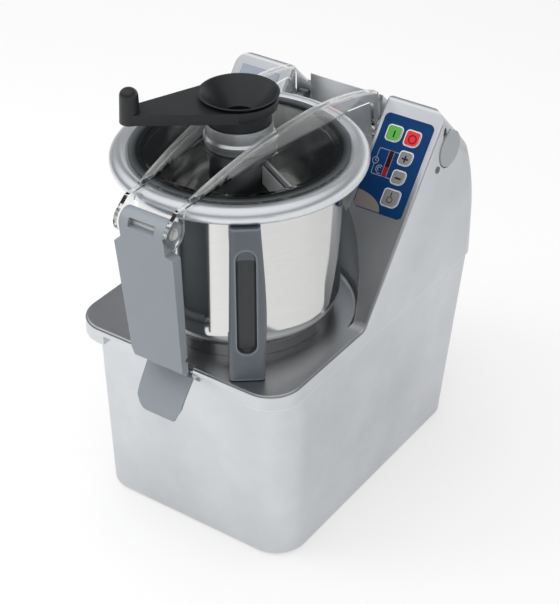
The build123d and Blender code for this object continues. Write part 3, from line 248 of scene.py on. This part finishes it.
def moulded(name, dark, light, rough, specular=0.5, highlit_edges=None):
    """Moulded plastic or rubber; the edge argument gives the radius and the colour of a painted highlight
    on its edges.
    """
    material, tree, shader, coords = finish(name)
    skin = place(tree, moulded_grain, {"Vector": coords}).outputs
    colour = blend(tree, skin["Drift"], dark, light)
    if highlit_edges:
        edge_radius, edge_colour = highlit_edges
        # Painted highlight on the edges
        edge_highlight = place(tree, edge_mask, {"Radius": edge_radius}).outputs["Mask"]
        colour = blend(tree, edge_highlight, colour, edge_colour)
    feed(tree, shader, {
        "Base Color": colour,
        "Roughness": ranged(tree, skin["Drift"], rough - 0.04, rough + 0.05),
        "Specular IOR Level": specular,
        "Normal": bump(tree, skin["Grain"], 0.00005, 0.4),
    })
    return material


def machined(name, dark, light, rough, stretch=(1, 1, 60), relief=0.25, shaded_below=None):
    """Turned or brushed steel; darker below a height if asked, as painted shade."""
    material, tree, shader, coords = finish(name, metallic=1.0)
    lines = place(tree, turned_lines, {"Vector": coords, "Stretch": stretch}).outputs["Lines"]
    colour = blend(tree, lines, dark, light)
    # Painted shade below the given height
    if shaded_below:
        fade = 0.003
        height = axis_of(tree, coords, "Z")
        tone = ranged(tree, height, 0.50, 1.0, start=shaded_below - fade, stop=shaded_below + fade)
        colour = scaled(tree, colour, tone)
    feed(tree, shader, {
        "Base Color": colour,
        "Roughness": ranged(tree, lines, rough * 0.8, rough * 1.3),
        "Normal": bump(tree, lines, 0.00003, relief),
    })
    return material


rubber = moulded("black_rubber", (0.012, 0.012, 0.012), (0.03, 0.03, 0.03), 0.7)
zinc = machined("zinc_plate", (0.55, 0.56, 0.57), (0.72, 0.72, 0.70), 0.35)
steel = machined("turned_steel", (0.60, 0.60, 0.59), (0.78, 0.78, 0.77), 0.22)
dress(rubber, "rubber_feet", "shaft_seal")
dress(zinc, "base_plate", "tie_bolts", "motor_screws", "shaft_bearings", "motor_stator", "motor_core")
dress(steel, "drive_shaft", "hinge_pins", "hinge_bushes", "tongue_pin", "handle_studs", "latch_catch")

# Cable inlet: a black nylon gland, screwed into the casing's back. The photograph doesn't show it.
# No cord comes out of it.
gland_nylon = moulded("gland_nylon", (0.030, 0.032, 0.034), (0.042, 0.045, 0.048), 0.45)
dress(gland_nylon, "cable_gland")

# Bowl: drawn stainless steel, polished outside, with painted shade darkening it round its bottom
# radius. Its rolled rim is satin aluminium, and a welded steel ring carries it on the deck.
bottom_radius_top = 0.243
bowl_steel = machined(
    "polished_steel", (0.70, 0.70, 0.69), (0.82, 0.82, 0.80), 0.10,
    stretch=(1, 1, 40), relief=0.08, shaded_below=bottom_radius_top)
rim_metal = cast_metal("satin_rim", (0.76, 0.79, 0.82), (0.86, 0.88, 0.90), 0.32, 0.42, metallic=0.92)
dress(bowl_steel, "bowl", "bowl_foot_ring")
dress(rim_metal, "bowl_rim")


# Bowl handle: dark grey nylon, moulded with a fine grain and screwed to the bowl's wall. Its edges
# carry a pale painted highlight, and the channel in the grip is painted dark as shade.
bowl_axis_y = -0.05145


def from_bowl_axis(tree, coords):
    """Object coordinates counted from the bowl's axis."""
    feeds = {0: coords, 1: (0, bowl_axis_y, 0)}
    return node(tree, "VectorMath", feeds, operation="SUBTRACT").outputs["Vector"]


def paint_channel_shade(material):
    """Paints shade over the highlighted colour inside the grip's channel."""
    tree = material.node_tree
    shader = tree.nodes["Principled BSDF"]
    coords = node(tree, "TexCoord").outputs["Object"]
    channel_mouth = 0.1310
    channel_floor = 0.1285
    channel_half = 0.0102
    channel_top = 0.3535
    handle_turn = radians(-52)
    outward = (cos(handle_turn), sin(handle_turn), 0)
    sideways = (-sin(handle_turn), cos(handle_turn), 0)
    reach, across = (
        node(tree, "VectorMath", {0: from_bowl_axis(tree, coords), 1: way}, operation="DOT_PRODUCT")
        for way in (outward, sideways))
    # Painted shade inside the grip's channel
    inside = ranged(tree, reach.outputs["Value"], 0.0, 1.0, start=channel_mouth, stop=channel_floor)
    off_middle = maths(tree, "ABSOLUTE", across.outputs["Value"])
    inside = maths(tree, "MULTIPLY", inside, maths(tree, "LESS_THAN", off_middle, channel_half))
    height = axis_of(tree, coords, "Z")
    inside = maths(tree, "MULTIPLY", inside, maths(tree, "LESS_THAN", height, channel_top))
    highlit_colour = shader.inputs["Base Color"].links[0].from_socket
    feed(tree, shader, {"Base Color": blend(tree, inside, highlit_colour, (0.030, 0.035, 0.038))})


handle_nylon = moulded(
    "handle_nylon", (0.084, 0.098, 0.114), (0.108, 0.124, 0.142), 0.33,
    highlit_edges=(0.004, (0.24, 0.27, 0.31)))
paint_channel_shade(handle_nylon)
dress(handle_nylon, "bowl_handle")

# Cutter: hardened sickle blades, ground bright, on a turned steel hub. The rippled cap nut screws
# down on the hub and holds both blades.
blade_steel = machined("ground_blade", (0.55, 0.55, 0.55), (0.80, 0.80, 0.79), 0.16, stretch=(30, 1, 1))
dress(blade_steel, "lower_blade", "upper_blade", "rotor_hub", "rotor_cap")


# Lid: clear polycarbonate, injection moulded in one piece with its ribs, ears and knuckles. The ribs
# are milky, as thick clear mouldings are.
def build_flow_marks():
    """Slow drifts and faint ripples that a clear moulding keeps from its filling."""
    group, start, end = shader_group(
        "flow_marks", (("Vector", "Vector", (0, 0, 0)),), ("Drift", "Ripple"))
    coords = start.outputs["Vector"]
    feed(group, end, {"Drift": noise(group, coords, 14.0, 2.0), "Ripple": noise(group, coords, 60.0, 2.0)})
    return group


def show_either(tree, mask, first, second):
    """Shows the first of two shaders where the mask is 0 and the second where it is 1."""
    mixed = node(tree, "MixShader", {0: mask, 1: first.outputs[0], 2: second.outputs[0]})
    end = next(one for one in tree.nodes if one.type.startswith("OUTPUT"))
    feed(tree, end, {"Surface": mixed.outputs[0]})


def clear_plastic(name, tint, rough, weight):
    """Clear wall that the lamps' light passes, so what lies under it isn't in its shadow."""
    material, tree, shader, coords = finish(name, ior=1.45)
    marks = place(tree, flow_marks, {"Vector": coords}).outputs
    paler = tuple(min(1, part + 0.02) for part in tint)
    feed(tree, shader, {
        "Base Color": blend(tree, marks["Drift"], tint, paler),
        "Roughness": ranged(tree, marks["Drift"], rough, rough + 0.03),
        "Transmission Weight": weight,
        "Normal": bump(tree, marks["Ripple"], 0.00004, 0.2),
    })
    let_through = node(tree, "BsdfTransparent", {"Color": tint})
    show_either(tree, node(tree, "LightPath").outputs["Is Shadow Ray"], shader, let_through)
    return material


flow_marks = build_flow_marks()
lid_clear = clear_plastic("clear_polycarbonate", (0.97, 0.98, 0.98), 0.012, 1.0)
rib_milky = clear_plastic("milky_ribs", (0.95, 0.96, 0.96), 0.02, 0.84)
dress(lid_clear, "lid")
nodes["lid"].data.materials.append(rib_milky)
ribs_above = 0.4095
for face in nodes["lid"].data.polygons:
    if face.center.z > ribs_above:
        face.material_index = 1


# Lid seal and collar: a soft silicone seal, pressed on under the lid's rim, whose lip hangs into the
# bowl. The satin collar in the lid's middle carries the scraper.
def build_seal_silicone():
    """Silicone, pale where it grips the lid's rim, with painted shade darkening the lip inside."""
    material, tree, shader, coords = finish("seal_silicone", ior=1.41)
    lip_edge = 0.0990
    grip_edge = 0.1050
    level = {0: from_bowl_axis(tree, coords), 1: (1, 1, 0)}
    flat = node(tree, "VectorMath", level, operation="MULTIPLY").outputs["Vector"]
    reach = node(tree, "VectorMath", {0: flat}, operation="LENGTH").outputs["Value"]
    grip = ranged(tree, reach, 0.0, 1.0, start=lip_edge, stop=grip_edge)
    skin = place(tree, moulded_grain, {"Vector": coords, "Drift Scale": 40.0}).outputs
    feed(tree, shader, {
        # Painted shade: dark towards the lip inside, pale towards the rim
        "Base Color": blend(tree, grip, (0.020, 0.022, 0.023), (0.30, 0.32, 0.33)),
        "Roughness": ranged(tree, skin["Drift"], 0.40, 0.52),
        "Normal": bump(tree, skin["Grain"], 0.00005, 0.4),
    })
    return material


seal_silicone = build_seal_silicone()
collar_satin = machined(
    "satin_collar", (0.52, 0.55, 0.57), (0.95, 0.97, 0.98), 0.30, stretch=(1, 1, 90), relief=0.5)
dress(seal_silicone, "lid_seal")
dress(collar_satin, "lid_collar")

# Scraper: black nylon funnel and crank in one moulding, turned by hand. Its hub reaches through the
# collar and carries a pale acetal wiper on a black carrier.
crank_black = moulded("crank_nylon", (0.008, 0.009, 0.010), (0.018, 0.020, 0.022), 0.38)
wiper_pale = moulded("wiper_acetal", (0.50, 0.51, 0.52), (0.62, 0.63, 0.63), 0.45)
dress(crank_black, "scraper_crank", "scraper_hub")
dress(wiper_pale, "scraper_blade")


# Band round the funnel's neck: the crank's arm runs out into it under the funnel's lip, all in the
# same black moulding, with a softened lower edge.
def edit_select(piece, kind, test):
    """Selects the vertices, edges or faces whose middle passes the test, in edit mode."""
    bpy.ops.mesh.select_mode(type=kind)
    bpy.ops.mesh.select_all(action="DESELECT")
    mesh = bmesh.from_edit_mesh(piece.data)
    for part in {"VERT": mesh.verts, "EDGE": mesh.edges, "FACE": mesh.faces}[kind]:
        corners = [part.co] if kind == "VERT" else [vertex.co for vertex in part.verts]
        part.select = test(sum(corners, Vector()) / len(corners))
    mesh.select_flush_mode()
    bmesh.update_edit_mesh(piece.data)


def build_neck_band():
    band_low = 0.4466
    band_high = 0.4572
    radius = 0.0372
    wall = 0.0032
    waist = 0.905
    end = (band_high - band_low) / 2
    spot = (0, bowl_axis_y, band_low + end)
    bpy.ops.object.select_all(action="DESELECT")
    bpy.ops.mesh.primitive_cylinder_add(vertices=96, radius=radius, depth=2 * end, location=spot)
    band = bpy.context.object
    band.name = "funnel_band"
    bpy.ops.object.mode_set(mode="EDIT")
    edit_select(band, "FACE", lambda co: abs(co.z) > end / 2)
    bpy.ops.mesh.inset(thickness=wall)
    bpy.ops.mesh.bridge_edge_loops()
    edit_select(band, "VERT", lambda co: co.z < -end / 2 and co.xy.length < radius - wall / 2)
    bpy.ops.transform.resize(value=(waist, waist, 1), center_override=(0, bowl_axis_y, 0))
    edit_select(band, "EDGE", lambda co: co.z < -end / 2 and co.xy.length > radius - wall / 2)
    bpy.ops.mesh.bevel(offset=0.0022, segments=5)
    bpy.ops.mesh.select_all(action="SELECT")
    bpy.ops.mesh.normals_make_consistent(inside=False)
    bpy.ops.object.mode_set(mode="OBJECT")
    bpy.ops.object.transform_apply(location=True, rotation=True, scale=True)
    bpy.ops.object.shade_smooth_by_angle(angle=radians(35))
    band.data.materials.append(crank_black)
    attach(band, "scraper")


build_neck_band()


# Wiper cover: the pale wiper folds over the carrier's leading face, so that from the front only a
# black edge of the carrier shows beside it.
def build_wiper_cover():
    carrier_half = 0.00605
    thick = 0.0008
    outline = (
        (0.0310, 0.3931), (0.0940, 0.3516), (0.0942, 0.3400), (0.0877, 0.3012),
        (0.0798, 0.3012), (0.0826, 0.3375), (0.0310, 0.3736),
    )
    bpy.ops.object.select_all(action="DESELECT")
    bpy.ops.mesh.primitive_circle_add(vertices=len(outline), radius=0.03, fill_type="NGON")
    cover = bpy.context.object
    cover.name = "wiper_cover"
    for vertex, (x, z) in zip(cover.data.vertices, outline):
        vertex.co = (x, bowl_axis_y - carrier_half, z)
    bpy.ops.object.mode_set(mode="EDIT")
    bpy.ops.mesh.select_all(action="SELECT")
    bpy.ops.mesh.extrude_region_move(TRANSFORM_OT_translate={"value": (0, -thick, 0)})
    bpy.ops.mesh.bevel(offset=0.0003, segments=2)
    bpy.ops.mesh.select_all(action="SELECT")
    bpy.ops.mesh.normals_make_consistent(inside=False)
    bpy.ops.object.mode_set(mode="OBJECT")
    bpy.ops.object.shade_smooth_by_angle(angle=radians(35))
    cover.data.materials.append(wiper_pale)
    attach(cover, "scraper")


build_wiper_cover()

# Front latch: a plate of grey glass-filled nylon that hangs on a satin steel pin in the lid's ears.
# Its tongue, moulded in the same nylon, hooks under the catch.
latch_nylon = moulded("latch_nylon", (0.235, 0.262, 0.290), (0.275, 0.300, 0.325), 0.48)
pin_satin = machined("satin_pin", (0.78, 0.79, 0.79), (0.92, 0.92, 0.91), 0.48)
dress(latch_nylon, "latch_plate", "latch_tongue")
dress(pin_satin, "latch_pin")

# Hinge caps and horn plate: the caps are a paler nylon, pressed over the ends of the hinge. The
# plate, left bare, is glued to the left horn.
cap_nylon = moulded("cap_nylon", (0.34, 0.36, 0.38), (0.40, 0.42, 0.44), 0.45)
label_grey = moulded("label_grey", (0.250, 0.280, 0.350), (0.290, 0.320, 0.390), 0.5)
dress(cap_nylon, "hinge_caps")
dress(label_grey, "horn_label")

# Plugs: small nylon heads that close the set screw holes below the hinge caps, each pressed in by
# hand, with a shallow dish in the middle.
plug_nylon = moulded("plug_nylon", (0.10, 0.11, 0.12), (0.14, 0.15, 0.16), 0.45)


def build_plug(name, side):
    casing_half = 0.1282
    hinge_y = 0.13255
    hinge_z = 0.357
    ahead_of_hinge = 0.0225
    below_hinge = 0.0145
    thick = 0.0006
    spot = (side * (casing_half + thick / 2), hinge_y - ahead_of_hinge, hinge_z - below_hinge)
    bpy.ops.object.select_all(action="DESELECT")
    bpy.ops.mesh.primitive_cylinder_add(vertices=40, radius=0.0038, depth=thick, location=spot)
    plug = bpy.context.object
    plug.name = name
    plug.rotation_euler = (0, side * radians(90), 0)
    bpy.ops.object.mode_set(mode="EDIT")
    edit_select(plug, "FACE", lambda co: co.z > thick / 3)
    bpy.ops.mesh.inset(thickness=0.0009)
    bpy.ops.mesh.inset(thickness=0.0004, depth=-0.0003)
    bpy.ops.object.mode_set(mode="OBJECT")
    bpy.ops.object.transform_apply(location=True, rotation=True, scale=True)
    bpy.ops.object.shade_smooth_by_angle(angle=radians(35))
    plug.data.materials.append(plug_nylon)
    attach(plug, "machine")


build_plug("hole_plug_right", 1)
build_plug("hole_plug_left", -1)

# Control panel: blue printed film in a shallow seat on the right horn, with five moulded keys
# standing through it and a slim display that is unlit above and glows below.
panel_lean = radians(51.46)
panel_foot = Vector((0, -0.01945, 0.220))
panel_up = Vector((0, cos(panel_lean), sin(panel_lean)))
panel_out = Vector((0, -sin(panel_lean), cos(panel_lean)))


def build_display():
    material, tree, shader, coords = finish("display_lens")
    glow_top = 0.3464
    fade = 0.0004
    height = axis_of(tree, coords, "Z")
    unlit_part = ranged(tree, height, 0.0, 1.0, start=glow_top - fade, stop=glow_top + fade)
    specks = noise(tree, coords, 900.0, 2.0)
    lit = blend(tree, specks, (0.235, 0.012, 0.010), (0.330, 0.020, 0.014))
    unlit = blend(tree, specks, (0.022, 0.003, 0.004), (0.034, 0.004, 0.006))
    feed(tree, shader, {
        "Base Color": blend(tree, unlit_part, lit, unlit),
        "Roughness": ranged(tree, specks, 0.16, 0.24),
    })
    return material


panel_film = moulded("panel_film", (0.0010, 0.028, 0.105), (0.0015, 0.038, 0.140), 0.42, specular=0.15)
key_green = moulded("key_green", (0.090, 0.350, 0.045), (0.110, 0.400, 0.060), 0.45, specular=0.3)
key_red = moulded("key_red", (0.640, 0.016, 0.024), (0.740, 0.026, 0.030), 0.45, specular=0.3)
key_grey = moulded("key_grey", (0.200, 0.190, 0.188), (0.245, 0.232, 0.230), 0.48)
board_green = moulded("board_lacquer", (0.01, 0.10, 0.03), (0.02, 0.14, 0.05), 0.4)
dress(panel_film, "control_panel")
dress(key_green, "key_start")
dress(key_red, "key_stop")
dress(key_grey, "key_plus", "key_minus", "key_pulse")
dress(build_display(), "speed_display")
dress(board_green, "control_board")

# Printing: white screen-printed outlines and plain signs on the keys, a pale bracket with two small
# signs beside the display, and a bare bronze field in the film's lower corner.
ink_white = moulded("ink_white", (0.70, 0.74, 0.77), (0.80, 0.83, 0.86), 0.5)
ink_pale = moulded("ink_pale", (0.30, 0.33, 0.42), (0.38, 0.41, 0.50), 0.5)
ink_dark = moulded("ink_dark", (0.004, 0.009, 0.012), (0.008, 0.016, 0.020), 0.6, specular=0.1)
ink_red = moulded("ink_red", (0.085, 0.006, 0.026), (0.120, 0.010, 0.036), 0.6, specular=0.1)
ink_bronze = moulded("ink_bronze", (0.190, 0.165, 0.155), (0.245, 0.212, 0.200), 0.45)
key_top = 0.00129
film_top = 0.00039
print_thick = 0.00007


def panel_face(name):
    """Middle and size, along the slope, of what a CAD piece shows above the panel's film."""
    spots = [vertex.co - panel_foot for vertex in nodes[name].data.vertices]
    shown = [spot for spot in spots if spot.dot(panel_out) > film_top]
    across = [spot.x for spot in shown]
    upward = [spot.dot(panel_up) for spot in shown]
    middle = ((min(across) + max(across)) / 2, (min(upward) + max(upward)) / 2)
    return *middle, max(across) - min(across), max(upward) - min(upward)


def flat_blank(width, height, corner, wide_corner=None):
    """Rounded flat blank at the origin, left in edit mode with its face selected."""
    bpy.ops.object.select_all(action="DESELECT")
    bpy.ops.mesh.primitive_plane_add(size=1.0)
    piece = bpy.context.object
    piece.scale = (width, height, 1)
    bpy.ops.object.transform_apply(location=False, rotation=False, scale=True)
    bpy.ops.object.mode_set(mode="EDIT")
    if wide_corner:
        edit_select(piece, "VERT", lambda co: co.x > 0 and co.y < 0)
        bpy.ops.mesh.bevel(offset=wide_corner, segments=10, affect="VERTICES")
    limit = height / 2 - 1e-6
    side = width / 2 - 1e-6
    edit_select(piece, "VERT", lambda co: abs(co.x) > side and abs(co.y) > limit)
    bpy.ops.mesh.bevel(offset=corner, segments=6, affect="VERTICES")
    bpy.ops.mesh.select_all(action="SELECT")
    return piece


def flat_disc(radius):
    bpy.ops.object.select_all(action="DESELECT")
    bpy.ops.mesh.primitive_circle_add(vertices=56, radius=radius, fill_type="NGON")
    bpy.ops.object.mode_set(mode="EDIT")
    bpy.ops.mesh.select_all(action="SELECT")


def hollow_out(line):
    """Leaves only a line round the edge of the blank in hand."""
    bpy.ops.mesh.inset(thickness=line, depth=0)
    bpy.ops.mesh.delete(type="FACE")
    bpy.ops.mesh.select_all(action="SELECT")


def print_on(name, x, along, out, material, body):
    """Gives the blank in hand its ink thickness and lays it on the sloping panel."""
    piece = bpy.context.object
    bpy.ops.mesh.select_all(action="SELECT")
    bpy.ops.mesh.extrude_region_move(TRANSFORM_OT_translate={"value": (0, 0, print_thick)})
    bpy.ops.mesh.select_all(action="SELECT")
    bpy.ops.mesh.normals_make_consistent(inside=False)
    bpy.ops.object.mode_set(mode="OBJECT")
    piece.name = name
    piece.rotation_euler = (panel_lean, 0, 0)
    piece.location = panel_foot + Vector((x, 0, 0)) + panel_up * along + panel_out * out
    bpy.ops.object.transform_apply(location=True, rotation=True, scale=True)
    piece.data.materials.append(material)
    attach(piece, body)


def key_line(key, kind, grow, corner, line, out, material, body):
    """A line that follows a key's edge, with its lower right corner wider than the others."""
    x, along, width, height = panel_face(f"key_{key}")
    flat_blank(width + 2 * grow, height + 2 * grow, corner, corner + 0.0032)
    hollow_out(line)
    print_on(f"{key}_{kind}", x, along, out, material, body)


for key in ("start", "stop", "plus", "minus", "pulse"):
    key_line(key, "frame", 0.00105, 0.0041, 0.00082, film_top, ink_white, "machine")
    key_line(key, "outline", -0.00006, 0.0031, 0.00042, key_top, ink_white, f"{key}_key")
    key_line(key, "inner_line", -0.00050, 0.0027, 0.00026, key_top, ink_dark, f"{key}_key")


def bar(name, x, along, width, height, material, body, slot, out=key_top):
    flat_blank(width, height, min(width, height) * 0.3)
    print_on(name, x, along, out, material, body)


def ring_print(name, x, along, radius, line, material, body, slot, out=key_top):
    flat_disc(radius)
    hollow_out(line)
    print_on(name, x, along, out, material, body)


def on_key(key, right, above):
    """A place on the panel, counted from the middle of a key's face."""
    x, along, _, _ = panel_face(f"key_{key}")
    return x + right, along + above


bar("start_sign", *on_key("start", 0.0005, -0.0007), 0.0015, 0.0074, ink_dark, "start_key", "black")
ring_print(
    "stop_sign", *on_key("stop", 0.0006, -0.0007), 0.0047, 0.0012, ink_red, "stop_key", "display_red")
plus_middle = on_key("plus", 0, -0.0006)
over_bar = key_top + 0.00002
bar("plus_sign_across", *plus_middle, 0.0074, 0.0017, ink_dark, "plus_key", "black")
bar("plus_sign_down", *plus_middle, 0.0017, 0.0074, ink_dark, "plus_key", "black", over_bar)
bar("minus_sign", *on_key("minus", 0, -0.0009), 0.0070, 0.0017, ink_dark, "minus_key", "black")
ring_print(
    "pulse_sign_ring", *on_key("pulse", -0.0004, -0.0019), 0.0034, 0.0008, ink_dark, "pulse_key", "black")
bar("pulse_sign_mark", *on_key("pulse", -0.0004, 0.0039), 0.0011, 0.0040, ink_dark, "pulse_key", "black")

# The bracket starts as a whole rounded frame and is cut where it meets the keys and the time sign
bracket_width = 0.0300
bracket_cut = 0.0081
bracket_nudge = 0.0001
gap_half = 0.0036
display_x, display_along, display_width, display_height = panel_face("speed_display")
border_height = display_height + 0.0008
bracket = flat_blank(bracket_width, border_height, 0.0022)
hollow_out(0.00055)
bpy.ops.mesh.bisect(plane_co=(bracket_cut, 0, 0), plane_no=(1, 0, 0), clear_outer=True)
for gap_edge in (gap_half, -gap_half):
    bpy.ops.mesh.select_all(action="SELECT")
    bpy.ops.mesh.bisect(plane_co=(0, gap_edge, 0), plane_no=(0, 1, 0))
edit_select(bracket, "FACE", lambda co: co.x < 0.001 - bracket_width / 2 and abs(co.y) < gap_half)
bpy.ops.mesh.delete(type="FACE")
print_on(
    "bracket_line", display_x + bracket_nudge, display_along - bracket_nudge,
    film_top, ink_pale, "machine")
flat_blank(display_width + 0.0010, border_height, 0.0004)
hollow_out(0.00038)
print_on("display_border", display_x, display_along, film_top, ink_pale, "machine")

# Time sign in the bracket's gap: a clock ring with two hands
time_x = 0.0714
time_along = 0.1644
pale_on_film = (ink_pale, "machine", "wiper_white", film_top)
ring_print("time_sign_ring", time_x, time_along, 0.0036, 0.00055, *pale_on_film)
bar("time_sign_hand", time_x, time_along + 0.0010, 0.0005, 0.0024, *pale_on_film)
bar("time_sign_short_hand", time_x + 0.0007, time_along - 0.0001, 0.0018, 0.0005, *pale_on_film)

# Speed sign inside the bracket, left of the display: two arcs over a foot
speed_x = 0.0788
speed_along = 0.1572
for step, radius in enumerate((0.0041, 0.0022)):
    flat_disc(radius)
    hollow_out(0.00065)
    bpy.ops.mesh.bisect(plane_co=(0.0008, 0, 0), plane_no=(1, -0.6, 0), clear_outer=True)
    print_on(f"speed_sign_{step + 1}", speed_x, speed_along, film_top, ink_pale, "machine")
bar("speed_sign_foot", speed_x + 0.0004, speed_along - 0.0047, 0.0040, 0.0006, *pale_on_film)

# The bronze field is a quarter of an oval against the film's lower left corner
film_x, film_along, film_width, film_height = panel_face("control_panel")
margin = 0.0002
past_middle = 0.0008
flat_disc(1.0)
bpy.ops.transform.resize(value=(0.0316, 0.0176, 1))
for spot, away in (((past_middle, 0, 0), (-1, 0, 0)), ((0, past_middle, 0), (0, -1, 0))):
    bpy.ops.mesh.bisect(plane_co=spot, plane_no=away, clear_outer=True, use_fill=False)
    bpy.ops.mesh.select_all(action="SELECT")
print_on(
    "bronze_field", film_x - film_width / 2 + margin, film_along - film_height / 2 + margin,
    film_top, ink_bronze, "machine")


# Floor: a plain pale sweep that shows white to the camera, in metal and through the lid, and keeps
# the machine's shadow. In metal it carries painted shade: darker close to the machine, behind it and on
# its right.
def build_floor():
    bpy.ops.object.select_all(action="DESELECT")
    bpy.ops.mesh.primitive_plane_add(size=9.0, location=(0, 0, 0))
    floor = bpy.context.object
    floor.name = "studio_floor"
    material, tree, shader, coords = finish("floor_paint")
    paint = {"Base Color": (0.92, 0.92, 0.92), "Roughness": 0.9, "Specular IOR Level": 0.0}
    feed(tree, shader, paint)
    path = node(tree, "LightPath").outputs
    reach = node(tree, "VectorMath", {0: coords}, operation="LENGTH").outputs["Value"]
    # Painted shade in what metal mirrors of the floor near the machine
    behind = ranged(tree, axis_of(tree, coords, "Y"), 0.0, 0.38, start=0.1, stop=1.1)
    beside = ranged(tree, axis_of(tree, coords, "X"), 0.0, 0.14, start=0.10, stop=0.30)
    near = ranged(tree, reach, 0.24, 0.0, start=0.16, stop=0.46)
    dim = maths(tree, "ADD", maths(tree, "ADD", behind, beside), near, clamp=True)
    dim = maths(tree, "MULTIPLY", dim, path["Is Glossy Ray"])
    glow = node(tree, "Emission", {"Strength": maths(tree, "SUBTRACT", 1.0, dim)})
    seen = maths(tree, "MAXIMUM", path["Is Camera Ray"], path["Is Glossy Ray"])
    seen = maths(tree, "MAXIMUM", seen, path["Is Transmission Ray"])
    show_either(tree, maths(tree, "MULTIPLY", seen, 0.55), shader, glow)
    floor.data.materials.append(material)


build_floor()


# Studio light: a pale room with three soft boxes. What metal mirrors is another room, white at the
# horizon, dark above it and pale overhead.
def build_world():
    world = bpy.data.worlds.new("studio_room")
    bpy.context.scene.world = world
    world.use_nodes = True
    tree = world.node_tree
    way = node(tree, "TexCoord").outputs["Generated"]
    leftward = maths(tree, "MULTIPLY", axis_of(tree, way, "X"), -1.0)
    leftward = maths(tree, "SUBTRACT", leftward, 0.55, clamp=True)
    forward = maths(tree, "MULTIPLY", axis_of(tree, way, "Y"), 0.12)
    height = maths(tree, "SUBTRACT", axis_of(tree, way, "Z"), forward)
    height = maths(tree, "ADD", height, maths(tree, "MULTIPLY", leftward, 0.9))
    ramp = node(tree, "ValToRGB", {0: height})
    stops = ramp.color_ramp.elements
    stops[0].position = 0.16
    stops[0].color = (1.0, 1.0, 1.0, 1)
    stops[1].position = 0.34
    stops[1].color = (0.070, 0.075, 0.083, 1)
    for spot, tone in ((0.615, 0.075), (0.70, 0.85)):
        stop = stops.new(spot)
        stop.color = (tone, tone, tone * 1.02, 1)
    mirrored_room = node(tree, "Background", {"Color": ramp.outputs[0]})
    path = node(tree, "LightPath").outputs
    straight = maths(tree, "MAXIMUM", path["Is Camera Ray"], path["Is Transmission Ray"])
    strength = maths(tree, "ADD", maths(tree, "MULTIPLY", straight, 0.25), 0.75)
    pale_room = tree.nodes["Background"]
    feed(tree, pale_room, {"Color": (1, 1, 1), "Strength": strength})
    mirrored = maths(tree, "ADD", path["Is Glossy Ray"], path["Glossy Depth"], clamp=True)
    show_either(tree, mirrored, pale_room, mirrored_room)


def soft_box(name, spot, target, width, height, power):
    light = bpy.data.lights.new(name, "AREA")
    light.shape = "RECTANGLE"
    light.size = width
    light.size_y = height
    light.energy = power
    lamp = bpy.data.objects.new(name, light)
    bpy.context.scene.collection.objects.link(lamp)
    lamp.location = spot
    lamp.visible_glossy = False
    lamp.visible_transmission = False
    lamp.rotation_euler = (Vector(target) - Vector(spot)).to_track_quat("-Z", "Y").to_euler()


build_world()
soft_box("overhead_box", (-0.2, -0.3, 1.7), (0, 0, 0.3), 1.2, 1.2, 10.0)
soft_box("left_box", (-1.3, -0.9, 1.1), (0, 0, 0.25), 0.9, 1.2, 9.0)
soft_box("right_box", (1.5, -0.5, 0.9), (0, 0, 0.25), 0.8, 1.2, 1.2)

# Camera: where the photograph was taken from, fitted on the casing, the rim and the lid's ribs. The
# fit was made in a frame whose origin lies frame_shift further back on the machine.
fit_height = 0.2
fit_distance = 1.7599
fit_turn = radians(34.79)
fit_rise = radians(34.17)
fit_roll = radians(-0.11)
fit_right = 0.00152
fit_up = 0.01352
focal_pixels = 1668.9
photo_height = 604.0
sensor = 36.0
frame_shift = 0.01855

towards = Vector((sin(fit_turn) * cos(fit_rise), -cos(fit_turn) * cos(fit_rise), sin(fit_rise)))
right = Vector((cos(fit_turn), sin(fit_turn), 0))
up = towards.cross(right)
rolled_right = right * cos(fit_roll) + up * sin(fit_roll)
rolled_up = up * cos(fit_roll) - right * sin(fit_roll)
eye = Vector((0, frame_shift, fit_height)) + towards * fit_distance
eye -= rolled_right * fit_right + rolled_up * fit_up
camera_data = bpy.data.cameras.new("studio_camera")
camera_data.sensor_width = sensor
camera_data.sensor_fit = "AUTO"
camera_data.lens = focal_pixels / photo_height * sensor
camera = bpy.data.objects.new("studio_camera", camera_data)
bpy.context.scene.collection.objects.link(camera)
axes = Matrix((rolled_right, rolled_up, towards)).transposed().to_4x4()
camera.matrix_world = Matrix.Translation(eye) @ axes
bpy.context.scene.camera = camera
bpy.context.scene.view_settings.view_transform = "Standard"
